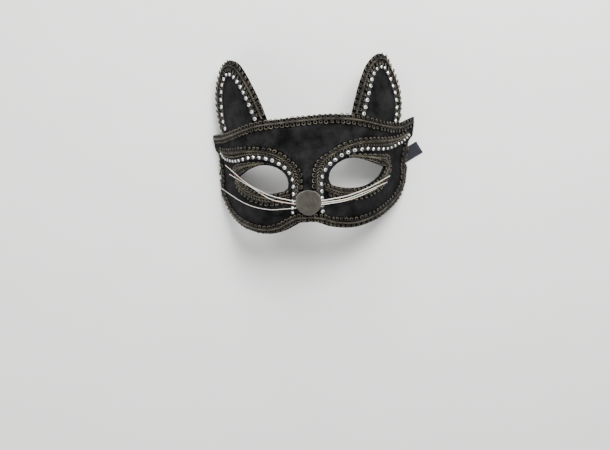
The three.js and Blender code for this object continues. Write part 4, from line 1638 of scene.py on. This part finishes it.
@dataclass
class StoneRow:
    """A row of cut glass stones on a narrow woven tape, with narrower stones where they stand closer."""

    crown: Material
    table: Material
    tape: Material
    radius: float = 1.42
    table_radius: float = 0.8
    gap: float = 0.5
    tape_half: float = 1.4
    tape_thickness: float = 0.5
    # The tape's corners are cut this far down, and its top is this share of its width.
    tape_corner: float = 0.15
    tape_top: float = 0.8
    line_count: int = 240
    girdle_sides: int = 16
    table_sides: int = 8
    base_share: float = 0.86
    base_height: float = 0.9
    girdle_low: float = 1.3
    girdle_high: float = 1.45
    star_radius: float = 1.12
    star_height: float = 1.9
    table_height: float = 2.1
    tilt: float = 0.14
    full_pitch: float = 4.8
    least_width: float = 0.56
    height_share: float = 0.3
    seed: int = 23

    def add_tape(self, parts: MeshParts, line: Array) -> None:
        """Adds the tape as a thin strip.

        Args:
            parts: The piece's mesh.
            line: The middle of the tape in the front view.
        """
        along = np.gradient(line, axis=0)
        low, high = self.gap, self.gap + self.tape_thickness
        shoulder = high - self.tape_corner
        top = self.tape_top
        section = ((-1, low), (1, low), (1, shoulder), (top, high), (-top, high), (-1, shoulder))
        rings = [FACE.point(walked(line, along, across * self.tape_half), lift) for across, lift in section]
        points = np.stack(rings, axis=1)
        reach = distances(np.vstack([points[0], points[0, :1]]))
        parts.add_net(points, reach, distances(line), finish=2)

    def stone(self) -> tuple[Array, list[tuple[list[int], int]]]:
        """One stone about its own middle, with a girdle, a cut crown and a flat table.

        Returns:
            Its points, and each face with the number of its material.
        """
        many, few = self.girdle_sides, self.table_sides
        levels = [
            (many, 0.0, self.radius * self.base_share, self.base_height),
            (many, 0.0, self.radius, self.girdle_low),
            (many, 0.0, self.radius, self.girdle_high),
            (few, 0.5, self.star_radius, self.star_height),
            (few, 0.0, self.table_radius, self.table_height),
        ]
        points = []
        for count, turn, radius, height in levels:
            angle = (np.arange(count) + turn) * (2.0 * math.pi / count)
            ring = [radius * np.cos(angle), radius * np.sin(angle), np.full(count, height)]
            points.append(np.column_stack(ring))
        base, low, high, star = (k * many for k in range(4))
        table = star + few
        faces = [(list(range(base, base + many))[::-1], 0), (list(range(table, table + few)), 1)]
        for k in range(many):
            n = (k + 1) % many
            # The band under the girdle gets the table's darker finish, painted as a dark reflection.
            faces.append(([base + k, base + n, low + n, low + k], 1))
            faces.append(([low + k, low + n, high + n, high + k], 0))
        for k in range(few):
            before, after = (k - 1) % few, (k + 1) % few
            first, second, third = (high + (2 * k + m) % many for m in range(3))
            faces.append(([table + k, star + k, table + after], 0))
            faces.append(([table + k, star + before, first, star + k], 0))
            faces.append(([star + k, first, second], 0))
            faces.append(([star + k, second, third], 0))
        return np.vstack(points), faces

    def build(self, name: str, rows: BySide[Places], side: Side, node: str) -> None:
        """Builds a row.

        Args:
            name: The piece's name.
            rows: The places of the stones, one row on each side.
            side: Which side the row is on.
            node: The node that it stands for.
        """
        line, _ = respaced(STONES.line(rows, side), self.line_count)
        parts = MeshParts()
        self.add_tape(parts, line)
        middles = STONES.places(rows, side)
        ways = np.gradient(middles, axis=0)
        normals = FACE.normal(middles)
        ground = FACE.point(middles)
        shape, faces = self.stone()
        random = np.random.default_rng(self.seed + len(name))
        for middle, way, normal in zip(ground, ways, normals):
            normal = unit(normal + random.normal(0.0, self.tilt, 3) * (1.0 - np.abs(normal)))
            ahead = unit(np.append(way, 0.0) - normal * np.dot(np.append(way, 0.0), normal))
            turn = random.uniform(0.0, math.pi / 4.0)
            across = np.cross(normal, ahead)
            first = math.cos(turn) * ahead + math.sin(turn) * across
            second = np.cross(normal, first)
            points = shape @ np.stack([first, second, normal])
            narrowing = 1.0 - np.clip(np.linalg.norm(way) / self.full_pitch, self.least_width, 1.0)
            for axis, share in ((ahead, 1.0), (across, self.height_share)):
                points = points - np.outer(points @ axis, axis) * narrowing * share
            for face, finish in faces:
                parts.add_faces(np.array([face]) + parts.count, finish=finish)
            parts.points.append(middle + points)
            parts.count += len(points)
        piece = parts.build(name, [self.crown, self.table, self.tape], flat=True)
        ride(piece, node)


@dataclass
class NosePad:
    """The domed felt pad over the nose."""

    finish: Material
    half_width: float = 8.0
    half_height: float = 9.3
    y: float = -0.4
    back: float = 2.75
    edge: float = 1.0
    dome: float = 1.4
    fuzz: float = 0.09
    fuzz_mm: float = 0.8
    fuzz_change: float = 3.0
    rings: int = 26
    sides: int = 84
    # The two rings of the hidden back and the last ring of the dome, as shares of the pad's size.
    underside: tuple[float, float] = (0.5, 0.97)
    last_ring: float = 0.04
    dome_power: float = 0.62

    def build(self) -> None:
        """Builds the pad as one closed piece."""
        share = np.linspace(1.0, self.last_ring, self.rings)[1:]
        scales = [*self.underside, 1.0, *share]
        lifts = [0.0, 0.0, 0.5 * self.edge, *(self.edge + self.dome * (1.0 - share**2) ** self.dome_power)]
        angle = np.arange(self.sides) * (2.0 * math.pi / self.sides)
        rows = []
        for scale, lift in zip(scales, lifts):
            x = self.half_width * scale * np.cos(angle)
            y = self.y + self.half_height * scale * np.sin(angle)
            level = self.fuzz_change * scale
            rough = [noise.noise(Vector((a, b, level)) / self.fuzz_mm) for a, b in zip(x, y)]
            rows.append(FACE.point(np.column_stack([x, y]), self.back + lift + self.fuzz * np.array(rough)))
        parts = MeshParts()
        parts.add_net(np.stack(rows), np.zeros(self.sides + 1), np.zeros(len(rows)))
        ride(parts.build("felt_nose_pad", [self.finish]), "nose_pad")


@dataclass
class Whiskers:
    """The nylon whiskers, thick at the root and fine at the tip."""

    finish: Material
    root_radius: float = 0.33
    tip_radius: float = 0.19
    taper_power: float = 1.3
    tucked: float = 1.6
    slimness: BySide[tuple[float, ...]] = BySide((0.85, 0.78, 0.64), (1.0, 0.95, 0.9))
    sides: int = 10
    steps: int = 64
    ways: BySide[tuple[tuple[tuple[float, float, float], ...], ...]] = BySide(
        left=(
            ((9.8, 1.1, 71.9), (15, 2.2, 70.6), (29, 6.3, 67.6), (44, 14.6, 63.2), (61.8, 29.4, 53.4)),
            ((9.9, -1, 71.9), (15, -0.2, 70.4), (28, 3, 67), (43, 12.5, 61.3), (59.4, 22.4, 53)),
            ((9.6, -4, 71.9), (15, -4.4, 70), (31, -4.4, 66.9), (47, 0, 62.4), (70.6, 14.5, 49.3)),
        ),
        right=(
            ((9.8, 0.2, 72.1), (14, 0.4, 70.8), (29, 1.9, 67.3), (44, 5.9, 63.3), (60.6, 12.6, 55.4)),
            ((9.8, -1.3, 72.1), (14, -1.3, 70.7), (28, -0.5, 66.8), (43, 3.4, 62.3), (58.2, 8, 55.4)),
            ((9.7, -2.8, 72.1), (14, -2.7, 70.5), (26, -2.1, 66.3), (37, 0, 62.9), (50, 4.4, 58.2)),
        ),
    )

    def build(self) -> None:
        """Builds all the whiskers, one piece each."""
        for side in Side:
            for number, way in enumerate(self.ways[side], start=1):
                marks = np.array(way) * np.array([side.value, 1.0, 1.0])
                # The root goes on under the rim of the felt pad, where it is glued.
                marks[0] -= unit(marks[1] - marks[0]) * self.tucked
                path = through(marks, self.steps)
                taper = np.linspace(0.0, 1.0, self.steps) ** self.taper_power
                radius = mix(self.root_radius, self.tip_radius, taper) * self.slimness[side][number - 1]
                parts = MeshParts()
                parts.add_tube(path, np.array([0.0, 0.0, 1.0]), radius, self.sides)
                node = f"whisker_{side.word}_{number}"
                ride(parts.build(f"nylon_{node}", [self.finish]), node)


@dataclass
class TieRibbon:
    """A satin tie ribbon, glued inside the temple, passed under the side edge and folded into a flat hank."""

    finish: Material
    width: float = 10.0
    wall: float = 1.6
    wall_gap: float = 0.65
    glued: float = 17.0
    slant: float = math.radians(27)
    crossing: tuple[float, float] = (76.0, 22.3)
    reach: BySide[float] = BySide(-4.8, 7.4)
    floor_lift: float = 0.3
    glued_rows: int = 8
    glued_level: float = 3.0
    foot_reach: float = -3.0
    # The turn back under the side edge: how far its crease stands out, and where the run back starts.
    crease_reach: float = 0.25
    run_start: float = -1.0
    layer: float = 0.42
    hank_corner: BySide[float] = BySide(57.3, 53.5)
    hank_start: BySide[float] = BySide(9.2, 7.0)
    hank_length: float = 41.0
    hank_layers: int = 9
    hank_margin: float = 0.6
    hank_lead: float = 8.0
    # Each fold of the hank, as how far back from its end and how many layers up each section is.
    fold: tuple[tuple[float, float], ...] = ((1.0, 0.0), (0.1, 0.1), (0.0, 0.5), (0.1, 0.9))
    last_share: float = 0.86
    corner_rise: float = 1.5
    columns: int = 5
    section_step: float = 3.0

    def sections(self, side: Side) -> list[tuple[Array, Array]]:
        """The two edges of the ribbon at each section along it, on the right of the mask.

        Args:
            side: Which side the ribbon is on.

        Returns:
            Pairs of points, one on each edge.
        """
        half = self.width / 2.0
        out = np.array([math.cos(self.slant), math.sin(self.slant), 0.0])
        left = np.array([-out[1], out[0], 0.0])
        layer = np.array([0.0, 0.0, self.layer])
        foot = np.array([*self.crossing, self.floor_lift])
        mirror = np.array([side.value, 1.0, 1.0])

        def square(middle: Array) -> tuple[Array, Array]:
            """A section square to the run under the side edge."""
            return middle - left * half, middle + left * half

        found: list[tuple[Array, Array]] = []
        for up in np.linspace(self.glued, 0.0, self.glued_rows):
            pair = []
            for offset in (-half, half):
                fall = (up + self.glued_level) * math.tan(self.slant)
                y = self.crossing[1] + offset / math.cos(self.slant) - fall
                x = FACE.side_at(side, np.array([y]), np.array([self.glued_level]))[0]
                place = np.array([[side.value * (x - up * math.cos(FACE.side_angle)), y]])
                pair.append(FACE.point(place, -self.wall - self.wall_gap)[0] * mirror)
            found.append((pair[0], pair[1]))
        reach = self.reach[side]
        if reach > self.foot_reach:
            found.append(square(foot + out * self.foot_reach))
        found.append(square(foot + out * reach))
        found.append(square(foot + out * (reach + self.crease_reach) + layer / 2.0))
        # The run meets the hank in a flat fold whose crease halves the angle between them.
        inner = self.hank_corner[side]
        corner = foot - out * (self.crossing[0] - inner - half) / math.cos(self.slant) + layer
        crease = unit(-out + np.array([0.0, 1.0, 0.0]))
        slide = half / float(np.dot(crease, left))
        first, second = corner - crease * slide, corner + crease * slide
        found.append(square(foot + out * (reach + self.run_start) + layer))
        found.append((first, second))
        found.append((first + layer / 2.0 * self.corner_rise, second + layer / 2.0 * self.corner_rise))
        edges = [inner, inner + self.width]
        if first[0] > second[0]:
            edges.reverse()

        def across(y: float, height: float) -> tuple[Array, Array]:
            """A section square to the hank."""
            return tuple(np.array([x, y, height]) for x in edges)

        near = self.hank_start[side] + self.hank_margin
        far = self.hank_start[side] + self.hank_length - self.hank_margin
        z = self.floor_lift + 2.0 * self.layer
        found.append(across(corner[1] + self.hank_lead, z))
        for k in range(self.hank_layers):
            end, way = (far, 1.0) if k % 2 == 0 else (near, -1.0)
            found += [across(end - way * back, z + rise * self.layer) for back, rise in self.fold]
            z += self.layer
        ends = (near, far) if self.hank_layers % 2 == 0 else (far, near)
        found.append(across(mix(*ends, self.last_share), z))
        return found

    def build(self, side: Side) -> None:
        """Args:
            side: Which side the ribbon is on.
        """
        pairs = np.array(self.sections(side))
        pairs[..., 0] *= side.value
        middle = pairs.mean(axis=1)
        travelled = distances(middle)
        count = math.ceil(travelled[-1] / self.section_step)
        wanted = np.unique(np.concatenate([travelled, np.linspace(0.0, travelled[-1], count)]))
        edges = [at_distance(pairs[:, k], travelled, wanted) for k in range(2)]
        columns = self.columns
        points = np.stack([mix(*edges, c / (columns - 1)) for c in range(columns)], axis=1)
        parts = MeshParts()
        parts.add_net(points, np.arange(columns) * (self.width / (columns - 1)), wanted)
        node = f"tie_ribbon_{side.word}"
        piece = ride(parts.build(f"satin_{node}", [self.finish]), node)


@dataclass(frozen=True)
class Lamp:
    """A soft square light: its place and the length of its side in millimetres, and its power in watts."""

    name: str
    place: tuple[float, float, float]
    size: float
    power: float


@dataclass
class Studio:
    """The pale floor, the soft lights and the camera at the photograph's angle."""

    floor_finish: Material
    yaw: float = math.radians(-5.061)
    pitch: float = math.radians(9.222)
    roll: float = math.radians(4.857)
    aim: tuple[float, float, float] = (-4.934, -18.518, 63.455)
    distance: float = 1400.0
    lens: float = 110.97
    sensor: float = 36.0
    farthest: float = 10000.0
    floor_half: float = 3000.0
    floor_drop: float = 0.02
    lit_place: tuple[float, float, float] = (0.0, 0.0, 40.0)
    lamps: tuple[Lamp, ...] = (
        Lamp("key", (300.0, 560.0, 900.0), 460.0, 25.5),
        Lamp("fill", (-620.0, -260.0, 800.0), 900.0, 6.5),
        Lamp("rim", (80.0, 900.0, 500.0), 500.0, 6.0),
    )
    sky: str = "ebebeb"
    sky_strength: float = 0.24

    def build(self) -> None:
        """Builds the camera, the floor and the lights."""
        self.camera()
        self.floor()
        for lamp in self.lamps:
            self.hang(lamp)
        world = bpy.data.worlds.new("studio")
        world.use_nodes = True
        bpy.context.scene.world = world
        sky = world.node_tree.nodes["Background"]
        sky.inputs["Color"].default_value = linear(self.sky)
        sky.inputs["Strength"].default_value = self.sky_strength

    def camera(self) -> None:
        """Sets the camera where the photograph was taken from."""
        turns = Matrix.Rotation(self.roll, 3, "Z") @ Matrix.Rotation(self.pitch, 3, "X")
        turns = turns @ Matrix.Rotation(self.yaw, 3, "Y")
        aim = Vector(self.aim) - Vector(NOSE_TO_MIDDLE)
        data = bpy.data.cameras.new("camera")
        data.lens = self.lens
        data.sensor_width = self.sensor
        data.clip_end = self.farthest * MM
        camera = bpy.data.objects.new("camera", data)
        turned = turns.transposed()
        camera.matrix_world = Matrix.Translation((aim + turned.col[2] * self.distance) * MM) @ turned.to_4x4()
        bpy.context.scene.collection.objects.link(camera)
        bpy.context.scene.camera = camera

    def floor(self) -> None:
        """Lays the floor under the mask."""
        ways = ((-1, -1), (1, -1), (1, 1), (-1, 1))
        corners = np.array([[x * self.floor_half, y * self.floor_half, -self.floor_drop] for x, y in ways])
        parts = MeshParts()
        parts.add(corners, np.array([[0, 1, 2, 3]]))
        parts.build("floor", [self.floor_finish])

    def hang(self, lamp: Lamp) -> None:
        """Hangs a light that faces the mask.

        Args:
            lamp: The light.
        """
        data = bpy.data.lights.new(lamp.name, "AREA")
        data.size = lamp.size * MM
        data.energy = lamp.power
        light = bpy.data.objects.new(lamp.name, data)
        place = Vector(lamp.place)
        light.location = place * MM
        light.rotation_euler = (Vector(self.lit_place) - place).to_track_quat("-Z", "Y").to_euler()
        bpy.context.scene.collection.objects.link(light)


def main() -> None:
    """Builds the mask's pieces in order and reports each one."""
    logging.basicConfig(level=logging.INFO, format="%(name)s: %(message)s")
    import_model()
    Studio(FloorCard().make()).build()
    lines = BraidLines()
    VelvetShell(Velvet().make()).build(lines.every())
    braid = GimpBraid(RayonCord().make())
    for part, strip in (("top", lines.top()), ("lower", lines.lower())):
        braid.build(f"gimp_{part}_edge", strip, f"{part}_edge_braid", BOTH_EDGES)
    # A stone's flat table is painted darker than the crown, as a painted reflection of a dark part of the
    # room.
    table = FoiledGlass(name="foiled glass table", dark="3c3a36", light="6f6b62", roughness=0.05)
    stones = StoneRow(FoiledGlass().make(), table.make(), WovenCloth().make())
    ways = (("brow", lines.brow, OUTER_EDGE), ("eye", lines.eye, BOTH_EDGES), ("ear", lines.ear, BOTH_EDGES))
    for side in Side:
        for part, way, looped in ways:
            braid.build(f"gimp_{part}_{side.word}", way(side), f"{part}_braid_{side.word}", looped)
        for part, rows in (("brow", STONES.brow), ("ear", STONES.ear)):
            stones.build(f"stones_{part}_{side.word}", rows, side, f"{part}_stones_{side.word}")
    NosePad(WoolFelt().make()).build()
    Whiskers(NylonBristle().make()).build()
    satin = WovenCloth("satin ribbon", "0b0c14", "141622", roughness=0.42, sheen=0.05, bump=0.12, yarn_mm=0.5)
    ribbon = TieRibbon(satin.make())
    for side in Side:
        ribbon.build(side)


if __name__ == "__main__":
    main()
